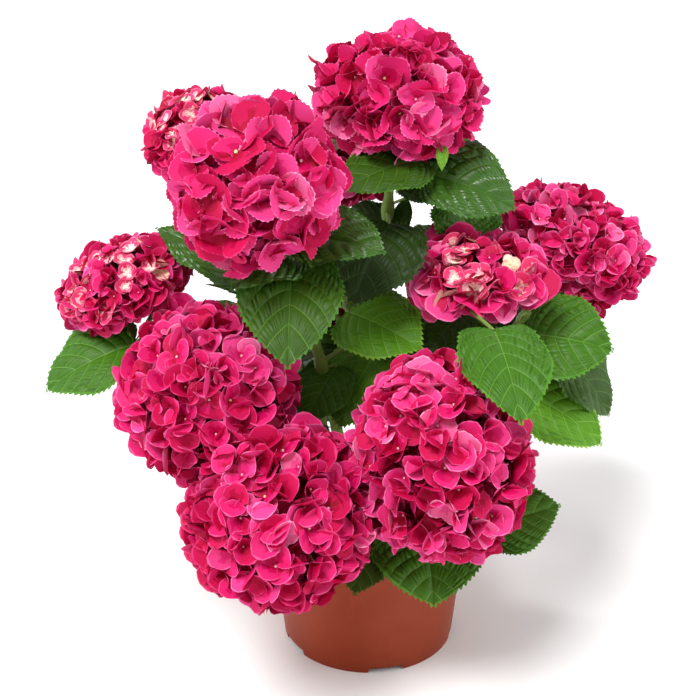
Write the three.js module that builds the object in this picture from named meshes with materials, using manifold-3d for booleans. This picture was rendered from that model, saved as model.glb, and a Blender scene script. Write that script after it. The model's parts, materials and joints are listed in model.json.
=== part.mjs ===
// A mophead hydrangea in a thin plastic pot: pot, compost, canes, side shoots, flower heads and masses of
// leaves, each one closed solid. Millimetres, +Z up, the front towards -Y. The origin is the middle of the
// pot's flat underside.
import * as THREE from 'three';
import { mergeVertices } from 'three/addons/utils/BufferGeometryUtils.js';
import Module from 'manifold-3d';

const wasm = await Module();
wasm.setup();

// ---- Driving dimensions ----

const CLEARANCE = 0.4;        // left between neighbours

const POT_HEIGHT = 160;
const POT_RIM_RADIUS = 100;
const POT_FOOT_RADIUS = 82.5;
const POT_WALL = 2.4;
const POT_FLOOR = 3;
const BAND_HEIGHT = 15;       // the stiffening band under the rim
const BAND_STEP = 3;          // how far the band stands out of the wall
const BAND_BEVEL = 1;
const BAND_BLEND = 4;         // how far below the band the inside begins to widen
const POT_SIDES = 36;

const NOTCH_COUNT = 5;        // drainage notches in the foot
const NOTCH_WIDTH = 36;
const NOTCH_HEIGHT = 5;
const NOTCH_DEPTH = 9;        // how far a notch bites in from the foot's edge
const NOTCH_BEARING = -79;    // of the first notch, in degrees from +X

const COMPOST_TOP = 146;

const LIMB_SIDES = 6;
const LIMB_STEPS = 6;
const ARRIVAL = 0.5;          // how far a limb is led by its flower head, as a share of its reach
const LEAN = 0.0022;          // how much a limb leans out at its foot, for each millimetre that it reaches out
const LARGE_HEAD = 65;        // half the width from which a flower head gets the finer grid
const LARGE_DETAIL = 3;       // subdivisions of the icosahedron that a flower head starts from
const SMALL_DETAIL = 2;
const HEAD_RELIEF = 0.035;    // how uneven a flower head is, as a share of its radius
const PAD_SIDES = 8;
const PAD_RINGS = 5;
const PAD_RELIEF = 0.13;      // how uneven a mass of leaves is, as a share of its width
const PAD_BLUNT = 0.03;       // the share of its length that a mass of leaves is cut short at each end
const PAD_FULLNESS = [1.1, 0.75]; // how full it is at its foot and at its tip, as shares of its width

// Each flower head: its middle, half its width each way, its height over and depth under the middle, and
// the way it faces, which is the way its stem runs on.
const HEADS = {
  top: { at: [28, 30, 525], half: [77, 74], over: 63, under: 56, faces: [0.05, -0.1, 1] },
  upper_left: { at: [-91, -110, 491], half: [70, 70], over: 70, under: 67, faces: [-0.3, -0.5, 0.8] },
  high_left: { at: [-161, 50, 489], half: [47, 46], over: 42, under: 38, faces: [-0.25, -0.1, 1] },
  left: { at: [-222, -10, 367], half: [61, 52], over: 41, under: 33, faces: [-0.42, -0.15, 0.9] },
  lower_left: { at: [-140, -90, 302], half: [84, 80], over: 78, under: 68, faces: [-0.5, -0.55, 0.68] },
  front_left: { at: [-80, -170, 222], half: [80, 82], over: 78, under: 64, faces: [-0.28, -0.75, 0.6] },
  front_right: { at: [59, -150, 261], half: [77, 76], over: 104, under: 98, faces: [-0.06, -0.18, 1] },
  right: { at: [192, 60, 380], half: [77, 62], over: 50, under: 42, faces: [0.46, -0.15, 0.88] },
  mid_right: { at: [95, -30, 383], half: [62, 56], over: 38, under: 32, faces: [0.02, -0.12, 1] },
  back_top: { at: [-36, 142, 430], half: [64, 62], over: 54, under: 46, faces: [-0.15, 0.5, 0.85] },
  back: { at: [-36, 178, 285], half: [62, 62], over: 56, under: 46, faces: [-0.1, 0.85, 0.5] },
  back_left: { at: [-158, 128, 214], half: [62, 60], over: 56, under: 46, faces: [-0.6, 0.55, 0.58] },
  back_right: { at: [104, 142, 198], half: [59, 58], over: 54, under: 44, faces: [0.5, 0.65, 0.58] },
  far_right: { at: [200, 160, 318], half: [57, 56], over: 50, under: 42, faces: [0.55, 0.55, 0.63] },
};

// Each limb ends in the flower head of its own name. A cane stands on the compost at `foot`; a side shoot
// leaves the cane `from` at the share `at` of its length. `rise` is how far it runs on in its first
// direction, and `radii` are those at its two ends.
const LIMBS = {
  cane_top: { head: 'top', foot: [8, 14], rise: 150, radii: [6.5, 3.4] },
  cane_upper_left: { head: 'upper_left', foot: [-16, -8], rise: 150, radii: [6.2, 3.4] },
  cane_high_left: { head: 'high_left', foot: [-24, 16], rise: 120, radii: [6, 2.8] },
  cane_lower_left: { head: 'lower_left', foot: [-34, -8], rise: 60, radii: [5.4, 3.4] },
  cane_front_left: { head: 'front_left', foot: [-18, -32], rise: 55, radii: [5.2, 3.4] },
  cane_front_right: { head: 'front_right', foot: [18, -26], rise: 40, radii: [5.4, 3.4] },
  cane_right: { head: 'right', foot: [34, 4], rise: 90, radii: [6.2, 3] },
  cane_back_top: { head: 'back_top', foot: [-4, 36], rise: 110, radii: [6, 3] },
  cane_back_left: { head: 'back_left', foot: [-30, 38], rise: 40, radii: [5, 3] },
  cane_back_right: { head: 'back_right', foot: [28, 34], rise: 36, radii: [5, 3] },
  shoot_left: { head: 'left', from: 'cane_high_left', at: 0.32, rise: 45, radii: [4, 2.8] },
  shoot_mid_right: { head: 'mid_right', from: 'cane_top', at: 0.38, rise: 45, radii: [4, 2.8] },
  shoot_back: { head: 'back', from: 'cane_back_top', at: 0.3, rise: 25, radii: [4, 3] },
  shoot_far_right: { head: 'far_right', from: 'cane_right', at: 0.36, rise: 35, radii: [4, 2.8] },
};

// Each mass of leaves: the limb it grows from, the share of that limb's length, its furthest tip, its
// width, its thickness and how far its middle bows up from the straight line to the tip.
const LEAVES = {
  leaves_far_left: { limb: 'shoot_left', at: 0.8, tip: [-290, -50, 276], size: [78, 28], bow: 8 },
  leaves_upper_left: { limb: 'cane_upper_left', at: 0.84, tip: [-188, -40, 420], size: [86, 26], bow: 8 },
  leaves_front: { limb: 'cane_upper_left', at: 0.86, tip: [-62, -172, 352], size: [130, 24], bow: 24 },
  leaves_middle: { limb: 'cane_top', at: 0.7, tip: [-8, -84, 372], size: [104, 26], bow: 14 },
  leaves_middle_right: { limb: 'cane_top', at: 0.5, tip: [50, -62, 318], size: [88, 26], bow: 10 },
  leaves_middle_low: { limb: 'cane_upper_left', at: 0.42, tip: [-44, -100, 264], size: [96, 24], bow: 14 },
  leaves_top_left: { limb: 'cane_top', at: 0.94, tip: [-30, -48, 466], size: [60, 20], bow: 6 },
  leaves_top_right: { limb: 'cane_top', at: 0.9, tip: [131, -2, 426], size: [86, 28], bow: 10 },
  leaves_top_low: { limb: 'cane_top', at: 0.84, tip: [98, -52, 406], size: [72, 22], bow: 6 },
  leaves_right_front: { limb: 'shoot_mid_right', at: 0.85, tip: [125, -124, 282], size: [92, 24], bow: 20 },
  leaves_right: { limb: 'cane_right', at: 0.7, tip: [222, -36, 296], size: [92, 26], bow: 10 },
  leaves_right_low: { limb: 'cane_right', at: 0.5, tip: [226, -14, 206], size: [96, 30], bow: 14 },
  leaves_low_right: { limb: 'cane_front_right', at: 0.45, tip: [172, -104, 174], size: [92, 26], bow: 4 },
  leaves_low_front: { limb: 'cane_front_right', at: 0.4, tip: [44, -164, 124], size: [108, 20], bow: 28 },
  leaves_low_left: { limb: 'cane_lower_left', at: 0.35, tip: [-168, 4, 186], size: [84, 24], bow: 14 },
  leaves_inner_left: { limb: 'cane_high_left', at: 0.44, tip: [-132, 4, 316], size: [84, 24], bow: 12 },
  leaves_inner_right: { limb: 'cane_right', at: 0.62, tip: [138, 118, 300], size: [84, 24], bow: 12 },
  leaves_back_top: { limb: 'cane_top', at: 0.88, tip: [88, 118, 446], size: [84, 24], bow: 10 },
  leaves_back_upper: { limb: 'cane_back_top', at: 0.84, tip: [46, 160, 392], size: [80, 24], bow: 12 },
  leaves_back_middle: { limb: 'cane_back_top', at: 0.62, tip: [-104, 124, 366], size: [84, 24], bow: 12 },
  leaves_back_left: { limb: 'cane_high_left', at: 0.62, tip: [-156, 142, 330], size: [94, 28], bow: 12 },
  leaves_back_right: { limb: 'cane_right', at: 0.32, tip: [92, 186, 296], size: [100, 28], bow: 24 },
  leaves_low_back: { limb: 'shoot_back', at: 0.3, tip: [-36, 178, 172], size: [108, 24], bow: 24 },
  leaves_low_back_left: { limb: 'cane_back_left', at: 0.5, tip: [-96, 164, 176], size: [84, 24], bow: 20 },
  leaves_low_back_right: { limb: 'cane_back_right', at: 0.5, tip: [186, 74, 196], size: [84, 24], bow: 14 },
};

const MATERIALS = {
  pot: new THREE.MeshStandardMaterial({ color: '#b9512f', roughness: 0.55, metalness: 0 }),
  compost: new THREE.MeshStandardMaterial({ color: '#33241a', roughness: 1, metalness: 0 }),
  cane: new THREE.MeshStandardMaterial({ color: '#7d8a48', roughness: 0.7, metalness: 0 }),
  flower: new THREE.MeshStandardMaterial({ color: '#dc1f66', roughness: 0.6, metalness: 0 }),
  leaf: new THREE.MeshStandardMaterial({ color: '#447a2b', roughness: 0.5, metalness: 0 }),
};

// ---- Solids ----

// A geometry with its shared corners merged, as a solid that can be cut.
function toSolid(geometry) {
  const bare = geometry.clone();
  bare.deleteAttribute('normal');
  bare.deleteAttribute('uv');
  const merged = mergeVertices(bare, 1e-4);
  return new wasm.Manifold(new wasm.Mesh({
    numProp: 3,
    vertProperties: Float32Array.from(merged.attributes.position.array),
    triVerts: Uint32Array.from(merged.index.array),
  }));
}

function toGeometry(solid) {
  const mesh = solid.getMesh();
  const geometry = new THREE.BufferGeometry();
  geometry.setAttribute('position', new THREE.Float32BufferAttribute(mesh.vertProperties, 3));
  geometry.setIndex(Array.from(mesh.triVerts));
  geometry.computeVertexNormals();
  return geometry;
}

// What is left of a solid once its neighbours are cut away: its largest body.
function cutRound(solid, neighbours) {
  const rest = neighbours.reduce((left, neighbour) => left.subtract(neighbour), solid);
  const bodies = rest.decompose();
  return bodies.reduce((largest, body) => (body.volume() > largest.volume() ? body : largest));
}

// A smooth wave over directions, between -1 and 1, that differs from seed to seed.
function wave(direction, seed) {
  const { x, y, z } = direction;
  return (Math.sin(4.3 * x + seed) + Math.sin(4.9 * y + 2.3 * seed) + Math.sin(5.7 * z + 3.7 * seed)) / 3;
}

// ---- Pot and compost ----

// The radius of the pot's outside wall at a height.
function wallRadius(height) {
  const underBand = POT_RIM_RADIUS - BAND_STEP;
  return THREE.MathUtils.lerp(POT_FOOT_RADIUS, underBand, height / (POT_HEIGHT - BAND_HEIGHT));
}

function lathe(profile) {
  const points = profile.map(([radius, height]) => new THREE.Vector2(radius, height));
  return new THREE.LatheGeometry(points, POT_SIDES).rotateX(Math.PI / 2);
}

function potSolid() {
  const bandFoot = POT_HEIGHT - BAND_HEIGHT;
  const shell = toSolid(lathe([
    [0, 0],
    [POT_FOOT_RADIUS, 0],
    [wallRadius(bandFoot), bandFoot],
    [POT_RIM_RADIUS - BAND_BEVEL, bandFoot + BAND_BEVEL],
    [POT_RIM_RADIUS, POT_HEIGHT],
    [POT_RIM_RADIUS - POT_WALL, POT_HEIGHT],
    [wallRadius(bandFoot) - POT_WALL, bandFoot - BAND_BLEND],
    [POT_FOOT_RADIUS - POT_WALL, POT_FLOOR],
    [0, POT_FLOOR],
  ]));
  const notch = new THREE.BoxGeometry(2 * NOTCH_DEPTH, NOTCH_WIDTH, 2 * NOTCH_HEIGHT);
  const notches = Array.from({ length: NOTCH_COUNT }, (_, index) => {
    const bearing = THREE.MathUtils.degToRad(NOTCH_BEARING + index * 360 / NOTCH_COUNT);
    return toSolid(notch.clone().translate(POT_FOOT_RADIUS, 0, 0).rotateZ(bearing));
  });
  return cutRound(shell, notches);
}

// The compost fills the pot from just over the notches to its level top, where the canes stand.
function compostSolid() {
  const bottom = Math.max(POT_FLOOR, NOTCH_HEIGHT) + CLEARANCE;
  const bottomRadius = wallRadius(bottom) - POT_WALL - 2 * CLEARANCE;
  const topRadius = wallRadius(COMPOST_TOP - BAND_BLEND) - POT_WALL - 2 * CLEARANCE;
  return toSolid(lathe([[0, bottom], [bottomRadius, bottom], [topRadius, COMPOST_TOP], [0, COMPOST_TOP]]));
}

// ---- Flower heads ----

function vector([x, y, z]) {
  return new THREE.Vector3(x, y, z);
}

// An uneven dome: wide across the way it faces, higher over its middle than under it.
function headSolid({ at, half, over, under, faces }, seed, grow) {
  const geometry = new THREE.IcosahedronGeometry(1, half[0] > LARGE_HEAD ? LARGE_DETAIL : SMALL_DETAIL);
  const corners = geometry.attributes.position;
  const turn = new THREE.Quaternion().setFromUnitVectors(new THREE.Vector3(0, 0, 1), vector(faces).normalize());
  for (let index = 0; index < corners.count; index += 1) {
    const direction = new THREE.Vector3().fromBufferAttribute(corners, index).normalize();
    const swell = 1 + HEAD_RELIEF * wave(direction, seed);
    const height = direction.z > 0 ? over : under;
    const corner = new THREE.Vector3(
      direction.x * (half[0] * swell + grow),
      direction.y * (half[1] * swell + grow),
      direction.z * (height * swell + grow),
    );
    corner.applyQuaternion(turn).add(vector(at));
    corners.setXYZ(index, corner.x, corner.y, corner.z);
  }
  return toSolid(geometry);
}

// ---- Canes and shoots ----

// The line of a limb, from its foot to the middle of its flower head.
function limbCurve(name) {
  const limb = LIMBS[name];
  const head = HEADS[limb.head];
  const end = vector(head.at);
  const parent = limb.from ? limbCurve(limb.from) : null;
  const foot = parent
    ? parent.getPointAt(limb.at)
    : new THREE.Vector3(limb.foot[0], limb.foot[1], COMPOST_TOP - 2);
  const reach = end.clone().sub(foot);
  const outward = reach.clone().setZ(0).multiplyScalar(LEAN);
  const start = new THREE.Vector3(outward.x, outward.y, 1).normalize();
  const arrive = reach.clone().normalize().add(vector(head.faces).normalize()).normalize();
  return new THREE.CubicBezierCurve3(
    foot,
    foot.clone().addScaledVector(start, limb.rise),
    end.clone().addScaledVector(arrive, -ARRIVAL * reach.length()),
    end,
  );
}

// A tapering limb along its line. Its end lies inside the flower head that is cut away from it.
function limbSolid(name, grow) {
  const { radii } = LIMBS[name];
  const curve = limbCurve(name);
  const rings = [];
  for (let step = 0; step <= LIMB_STEPS; step += 1) {
    const share = step / LIMB_STEPS;
    const along = curve.getTangentAt(share);
    const across = new THREE.Vector3(0, 1, 0).cross(along).normalize();
    const other = along.clone().cross(across).normalize();
    const radius = THREE.MathUtils.lerp(radii[0], radii[1], share) + grow;
    for (let side = 0; side < LIMB_SIDES; side += 1) {
      const angle = side / LIMB_SIDES * 2 * Math.PI;
      rings.push(curve.getPointAt(share)
        .addScaledVector(across, radius * Math.cos(angle))
        .addScaledVector(other, radius * Math.sin(angle)));
    }
  }
  return ringSolid(rings, LIMB_SIDES);
}

// Rings of corners, one after another, skinned into one closed solid.
function ringSolid(corners, sides) {
  const ringCount = corners.length / sides;
  const faces = [];
  for (let ring = 0; ring + 1 < ringCount; ring += 1) {
    for (let side = 0; side < sides; side += 1) {
      const here = ring * sides + side;
      const next = ring * sides + (side + 1) % sides;
      faces.push(here, next, next + sides, here, next + sides, here + sides);
    }
  }
  const last = (ringCount - 1) * sides;
  for (let side = 1; side + 1 < sides; side += 1) {
    faces.push(0, side + 1, side, last, last + side, last + side + 1);
  }
  const geometry = new THREE.BufferGeometry().setFromPoints(corners);
  geometry.setIndex(faces);
  return toSolid(geometry);
}

// ---- Leaves ----

// A bowed, uneven pad of leaves from its limb to its furthest tip.
function leavesSolid({ limb, at, tip, size, bow }, seed, grow) {
  const foot = limbCurve(limb).getPointAt(at);
  const along = vector(tip).sub(foot);
  const length = along.length();
  along.normalize();
  const across = along.clone().cross(new THREE.Vector3(0, 0, 1)).normalize();
  const up = across.clone().cross(along).normalize();
  const corners = [];
  for (let ring = 0; ring < PAD_RINGS; ring += 1) {
    const share = THREE.MathUtils.lerp(PAD_BLUNT, 1 - PAD_BLUNT, ring / (PAD_RINGS - 1));
    const swell = Math.sqrt(Math.sin(Math.PI * share)) * THREE.MathUtils.lerp(...PAD_FULLNESS, share);
    const middle = foot.clone()
      .addScaledVector(along, share * length)
      .addScaledVector(up, bow * Math.sin(Math.PI * share));
    for (let side = 0; side < PAD_SIDES; side += 1) {
      const angle = side / PAD_SIDES * 2 * Math.PI;
      const direction = new THREE.Vector3(Math.cos(angle), Math.sin(angle), 2 * share - 1);
      const uneven = 1 + PAD_RELIEF * wave(direction, seed);
      corners.push(middle.clone()
        .addScaledVector(across, -Math.cos(angle) * (size[0] / 2 * swell * uneven + grow))
        .addScaledVector(up, Math.sin(angle) * (size[1] / 2 * swell * uneven + grow)));
    }
  }
  return ringSolid(corners, PAD_SIDES);
}

// ---- The plant ----

const plant = new THREE.Group();

function addMesh(name, solid, material) {
  const mesh = new THREE.Mesh(toGeometry(solid), material);
  mesh.name = name;
  plant.add(mesh);
}

addMesh('pot', potSolid(), MATERIALS.pot);
addMesh('compost', compostSolid(), MATERIALS.compost);

// What later pieces are cut round, each a little larger than the piece itself.
const ground = toSolid(new THREE.BoxGeometry(2 * POT_RIM_RADIUS, 2 * POT_RIM_RADIUS, POT_HEIGHT)
  .translate(0, 0, COMPOST_TOP + CLEARANCE - POT_HEIGHT / 2));
const potSpace = toSolid(lathe([
  [0, -CLEARANCE],
  [POT_RIM_RADIUS + CLEARANCE, -CLEARANCE],
  [POT_RIM_RADIUS + CLEARANCE, POT_HEIGHT + CLEARANCE],
  [0, POT_HEIGHT + CLEARANCE],
]));
const placed = [];

Object.entries(HEADS).forEach(([name, head], index) => {
  addMesh(`flower_head_${name}`, cutRound(headSolid(head, index, 0), placed), MATERIALS.flower);
  placed.push(headSolid(head, index, CLEARANCE));
});

Object.keys(LIMBS).forEach((name) => {
  addMesh(name, cutRound(limbSolid(name, 0), [ground, ...placed]), MATERIALS.cane);
  placed.push(limbSolid(name, CLEARANCE));
});

Object.entries(LEAVES).forEach(([name, mass], index) => {
  addMesh(name, cutRound(leavesSolid(mass, index, 0), [potSpace, ...placed]), MATERIALS.leaf);
  placed.push(leavesSolid(mass, index, CLEARANCE));
});

export default plant;
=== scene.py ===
"""Looks of a potted mophead hydrangea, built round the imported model.

Flower heads, leaves, canes, compost and pot are each a class that holds its own sizes, in millimetres, and
builds its own meshes, in metres. Up is +Z and the front of the plant is -Y.
"""
from __future__ import annotations

import json
import logging
import math
from dataclasses import dataclass
from enum import Enum
from typing import Iterable, Sequence

import bmesh
import bpy
import numpy as np
from mathutils import Matrix, Vector

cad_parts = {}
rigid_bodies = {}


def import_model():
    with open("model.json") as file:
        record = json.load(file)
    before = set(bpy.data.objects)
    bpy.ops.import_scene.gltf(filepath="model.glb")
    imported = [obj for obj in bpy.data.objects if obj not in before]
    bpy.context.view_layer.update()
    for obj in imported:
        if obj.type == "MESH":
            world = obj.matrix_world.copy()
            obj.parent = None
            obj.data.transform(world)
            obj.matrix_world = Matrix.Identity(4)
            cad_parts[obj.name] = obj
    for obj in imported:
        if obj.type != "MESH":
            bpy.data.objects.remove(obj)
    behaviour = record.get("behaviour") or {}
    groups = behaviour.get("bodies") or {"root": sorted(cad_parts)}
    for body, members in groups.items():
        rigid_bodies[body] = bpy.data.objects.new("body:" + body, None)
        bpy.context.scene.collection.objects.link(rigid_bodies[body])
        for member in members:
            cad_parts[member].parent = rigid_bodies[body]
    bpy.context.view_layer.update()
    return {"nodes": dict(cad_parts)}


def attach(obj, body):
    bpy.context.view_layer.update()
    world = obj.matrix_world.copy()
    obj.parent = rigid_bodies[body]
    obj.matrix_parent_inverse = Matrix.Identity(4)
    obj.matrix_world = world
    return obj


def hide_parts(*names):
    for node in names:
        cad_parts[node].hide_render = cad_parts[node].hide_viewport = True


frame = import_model()

MM = 0.001
Array = np.ndarray
log = logging.getLogger("hydrangea")


# ---------------------------------------------------------------------------------------------------------
# Small geometry helpers
# ---------------------------------------------------------------------------------------------------------


def linear(hex_colour: str) -> tuple[float, float, float, float]:
    """Turn a display colour into the linear colour that a shader takes.

    Args:
        hex_colour: The colour as six hexadecimal digits.

    Returns:
        Linear red, green and blue, and an alpha of 1.
    """
    shown = [int(hex_colour[i:i + 2], 16) / 255 for i in (0, 2, 4)]
    return (*(c / 12.92 if c <= 0.04045 else ((c + 0.055) / 1.055) ** 2.4 for c in shown), 1.0)


def unit(vectors: Array) -> Array:
    """Scale vectors, held in the last axis, to length 1."""
    length = np.linalg.norm(vectors, axis=-1, keepdims=True)
    return vectors / np.maximum(length, 1e-12)


def turn_to(direction: Sequence[float]) -> Array:
    """Give the shortest turn that takes +Z to a direction, as a 3 by 3 matrix."""
    turn = Vector((0, 0, 1)).rotation_difference(Vector(direction).normalized())
    return np.array(turn.to_matrix())


def frames_about(normals: Array, spin: Array) -> Array:
    """Make a frame on each normal, turned about it.

    Args:
        normals: Unit normals, one to a row.
        spin: The turn about each normal, in radians.

    Returns:
        One 3 by 3 matrix for each normal, whose columns are the frame's x, y and z axes.
    """
    helper = np.where(np.abs(normals[:, 2:3]) < 0.9, [[0.0, 0.0, 1.0]], [[1.0, 0.0, 0.0]])
    side = unit(np.cross(helper, normals))
    other = np.cross(normals, side)
    cos, sin = np.cos(spin)[:, None], np.sin(spin)[:, None]
    return np.stack([side * cos + other * sin, other * cos - side * sin, normals], axis=-1)


def bezier(points: Sequence[Array], share: Array) -> Array:
    """Evaluate a cubic Bezier curve.

    Args:
        points: Its four control points.
        share: Where on it, from 0 to 1.

    Returns:
        A point for each share.
    """
    a, b, c, d = (np.asarray(p, float) for p in points)
    t = share[..., None]
    return a * (1 - t) ** 3 + 3 * b * t * (1 - t) ** 2 + 3 * c * t * t * (1 - t) + d * t ** 3


def circle(count: int) -> Array:
    """Give evenly spaced angles round a circle, in radians."""
    return np.linspace(0, 2 * math.pi, count, endpoint=False)


class MeshPile:
    """The corners and faces of one piece, gathered array by array and made into one mesh."""

    def __init__(self) -> None:
        """Start with nothing gathered."""
        self._points: list[Array] = []
        self._faces: list[Array] = []
        self._slots: list[Array] = []
        self._count = 0

    def add(self, points: Array, faces: Array, slots: Array | int = 0) -> None:
        """Add corners, and faces that count from the first of them.

        Args:
            points: Corners in metres, one to a row.
            faces: Corner numbers, one face to a row.
            slots: The material slot of each face, or of all of them.
        """
        self._points.append(points.reshape(-1, 3))
        self._faces.append(faces + self._count)
        self._slots.append(np.broadcast_to(np.asarray(slots), (len(faces),)))
        self._count += self._points[-1].shape[0]

    def add_grids(self, points: Array, slots: Array | int = 0, closed: bool = False) -> None:
        """Add grids of corners skinned with quads.

        Args:
            points: Corners of shape (grids, rows, columns, 3), in metres.
            slots: Slots of shape (grids, rows - 1, columns - 1), or one number.
            closed: True joins the last column to the first one.
        """
        grids, rows, columns = points.shape[:3]
        number = np.arange(rows * columns).reshape(rows, columns)
        right = np.roll(number, -1, axis=1)
        here, next_ = (number, right) if closed else (number[:, :-1], right[:, :-1])
        quads = np.stack([here[:-1], next_[:-1], next_[1:], here[1:]], axis=-1).reshape(-1, 4)
        first = (np.arange(grids) * rows * columns)[:, None, None]
        faces = (quads[None] + first).reshape(-1, 4)
        wide = np.broadcast_to(np.asarray(slots), (grids, rows - 1, here.shape[1])).reshape(-1)
        self.add(points, faces, wide)

    def build(
        self, name: str, materials: Iterable[bpy.types.Material], smooth: bool = True,
    ) -> bpy.types.Object:
        """Make the object.

        Args:
            name: The piece's name.
            materials: Its materials, in the order of the slots.
            smooth: True shades its faces smooth.

        Returns:
            The object, linked to the scene.
        """
        mesh = bpy.data.meshes.new(name)
        corners = np.concatenate([faces.reshape(-1) for faces in self._faces])
        widths = np.concatenate([np.full(len(faces), faces.shape[1]) for faces in self._faces])
        mesh.vertices.add(self._count)
        mesh.vertices.foreach_set("co", np.concatenate(self._points).astype(np.float32).reshape(-1))
        mesh.loops.add(len(corners))
        mesh.loops.foreach_set("vertex_index", corners.astype(np.int32))
        mesh.polygons.add(len(widths))
        mesh.polygons.foreach_set("loop_start", (np.cumsum(widths) - widths).astype(np.int32))
        mesh.polygons.foreach_set("material_index", np.concatenate(self._slots).astype(np.int32))
        mesh.polygons.foreach_set("use_smooth", np.full(len(widths), smooth))
        for material in materials:
            mesh.materials.append(material)
        mesh.update(calc_edges=True)
        piece = bpy.data.objects.new(name, mesh)
        bpy.context.scene.collection.objects.link(piece)
        return piece


def tubes(pile: MeshPile, paths: Array, radii: Array, sides: int, slots: Array | int = 0) -> None:
    """Add round tubes along paths.

    Args:
        pile: Where the tubes go.
        paths: Path points of shape (tubes, steps, 3), in metres.
        radii: Radii that fit (tubes, steps), in metres.
        sides: How many sides a tube has.
        slots: The material slot of each tube, or of all of them.
    """
    along = unit(np.gradient(paths, axis=1))
    main = unit(paths[:, -1:] - paths[:, :1])
    helper = np.where(np.abs(main[..., 2:3]) < 0.8, [[[0.0, 0.0, 1.0]]], [[[1.0, 0.0, 0.0]]])
    side = unit(np.cross(helper, along))
    other = np.cross(along, side)
    angle = circle(sides)
    ring = side[:, :, None] * np.cos(angle)[:, None] + other[:, :, None] * np.sin(angle)[:, None]
    radius = np.broadcast_to(radii, paths.shape[:2])[:, :, None, None]
    wide = np.broadcast_to(np.asarray(slots).reshape(-1, 1, 1), (len(paths), 1, 1))
    pile.add_grids(paths[:, :, None] + ring * radius, wide, closed=True)


class Wire:
    """A value in a shader, on which Python's operators add Math nodes."""

    def __init__(self, graph: Graph, socket: bpy.types.NodeSocket) -> None:
        """Wrap an output socket of a graph."""
        self.graph = graph
        self.socket = socket

    def _math(self, operation: str, *values: Wire | float) -> Wire:
        """Add a Math node that works on the given values, in order."""
        return self.graph.node("ShaderNodeMath", {"operation": operation}, dict(enumerate(values)))

    def __add__(self, other: Wire | float) -> Wire:
        """Add."""
        return self._math("ADD", self, other)

    __radd__ = __add__

    def __sub__(self, other: Wire | float) -> Wire:
        """Subtract."""
        return self._math("SUBTRACT", self, other)

    def __rsub__(self, other: float) -> Wire:
        """Subtract from a number."""
        return self._math("SUBTRACT", other, self)

    def __mul__(self, other: Wire | float) -> Wire:
        """Multiply."""
        return self._math("MULTIPLY", self, other)

    __rmul__ = __mul__

    def step(self, low: float, high: float) -> Wire:
        """Rise smoothly from 0 to 1 while this value goes from low to high."""
        values = {"Value": self, "From Min": low, "From Max": high}
        return self.graph.node("ShaderNodeMapRange", {"interpolation_type": "SMOOTHSTEP"}, values)


class Graph:
    """The nodes of a shader, and the node that they end in."""

    def __init__(self, tree: bpy.types.NodeTree, end: str) -> None:
        """Take a node tree and the name of its last shader."""
        self.tree = tree
        self.end = tree.nodes[end]

    def put(self, values: dict[str | int, object], node: bpy.types.Node | None = None) -> None:
        """Set or link sockets.

        Args:
            values: Numbers, colours or wires, by the socket's name or number.
            node: The node that they go into, or None for the last shader.
        """
        for key, value in values.items():
            socket = (node or self.end).inputs[key]
            if isinstance(value, Wire):
                self.tree.links.new(value.socket, socket)
            else:
                socket.default_value = value

    def node(
        self,
        kind: str,
        settings: dict[str, object] | None = None,
        values: dict[str | int, object] | None = None,
        output: str | int = 0,
    ) -> Wire:
        """Add a node.

        Args:
            kind: The node's type.
            settings: Its properties. "stops" gives a ramp's positions and colours.
            values: Its sockets' values or wires, by name or number.
            output: The output to go on from.

        Returns:
            That output.
        """
        made = self.tree.nodes.new(kind)
        for key, value in (settings or {}).items():
            if key == "stops":
                self._set_stops(made.color_ramp, value)
            else:
                setattr(made, key, value)
        self.put(values or {}, made)
        return Wire(self, made.outputs[output])

    def _set_stops(self, ramp: bpy.types.ColorRamp, stops: Sequence[tuple[float, str]]) -> None:
        """Give a ramp its stops.

        Args:
            ramp: The ramp.
            stops: Positions with their display colours.
        """
        while len(ramp.elements) < len(stops):
            ramp.elements.new(0.5)
        for element, (position, colour) in zip(ramp.elements, stops):
            element.position = position
            element.color = linear(colour)


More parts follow.
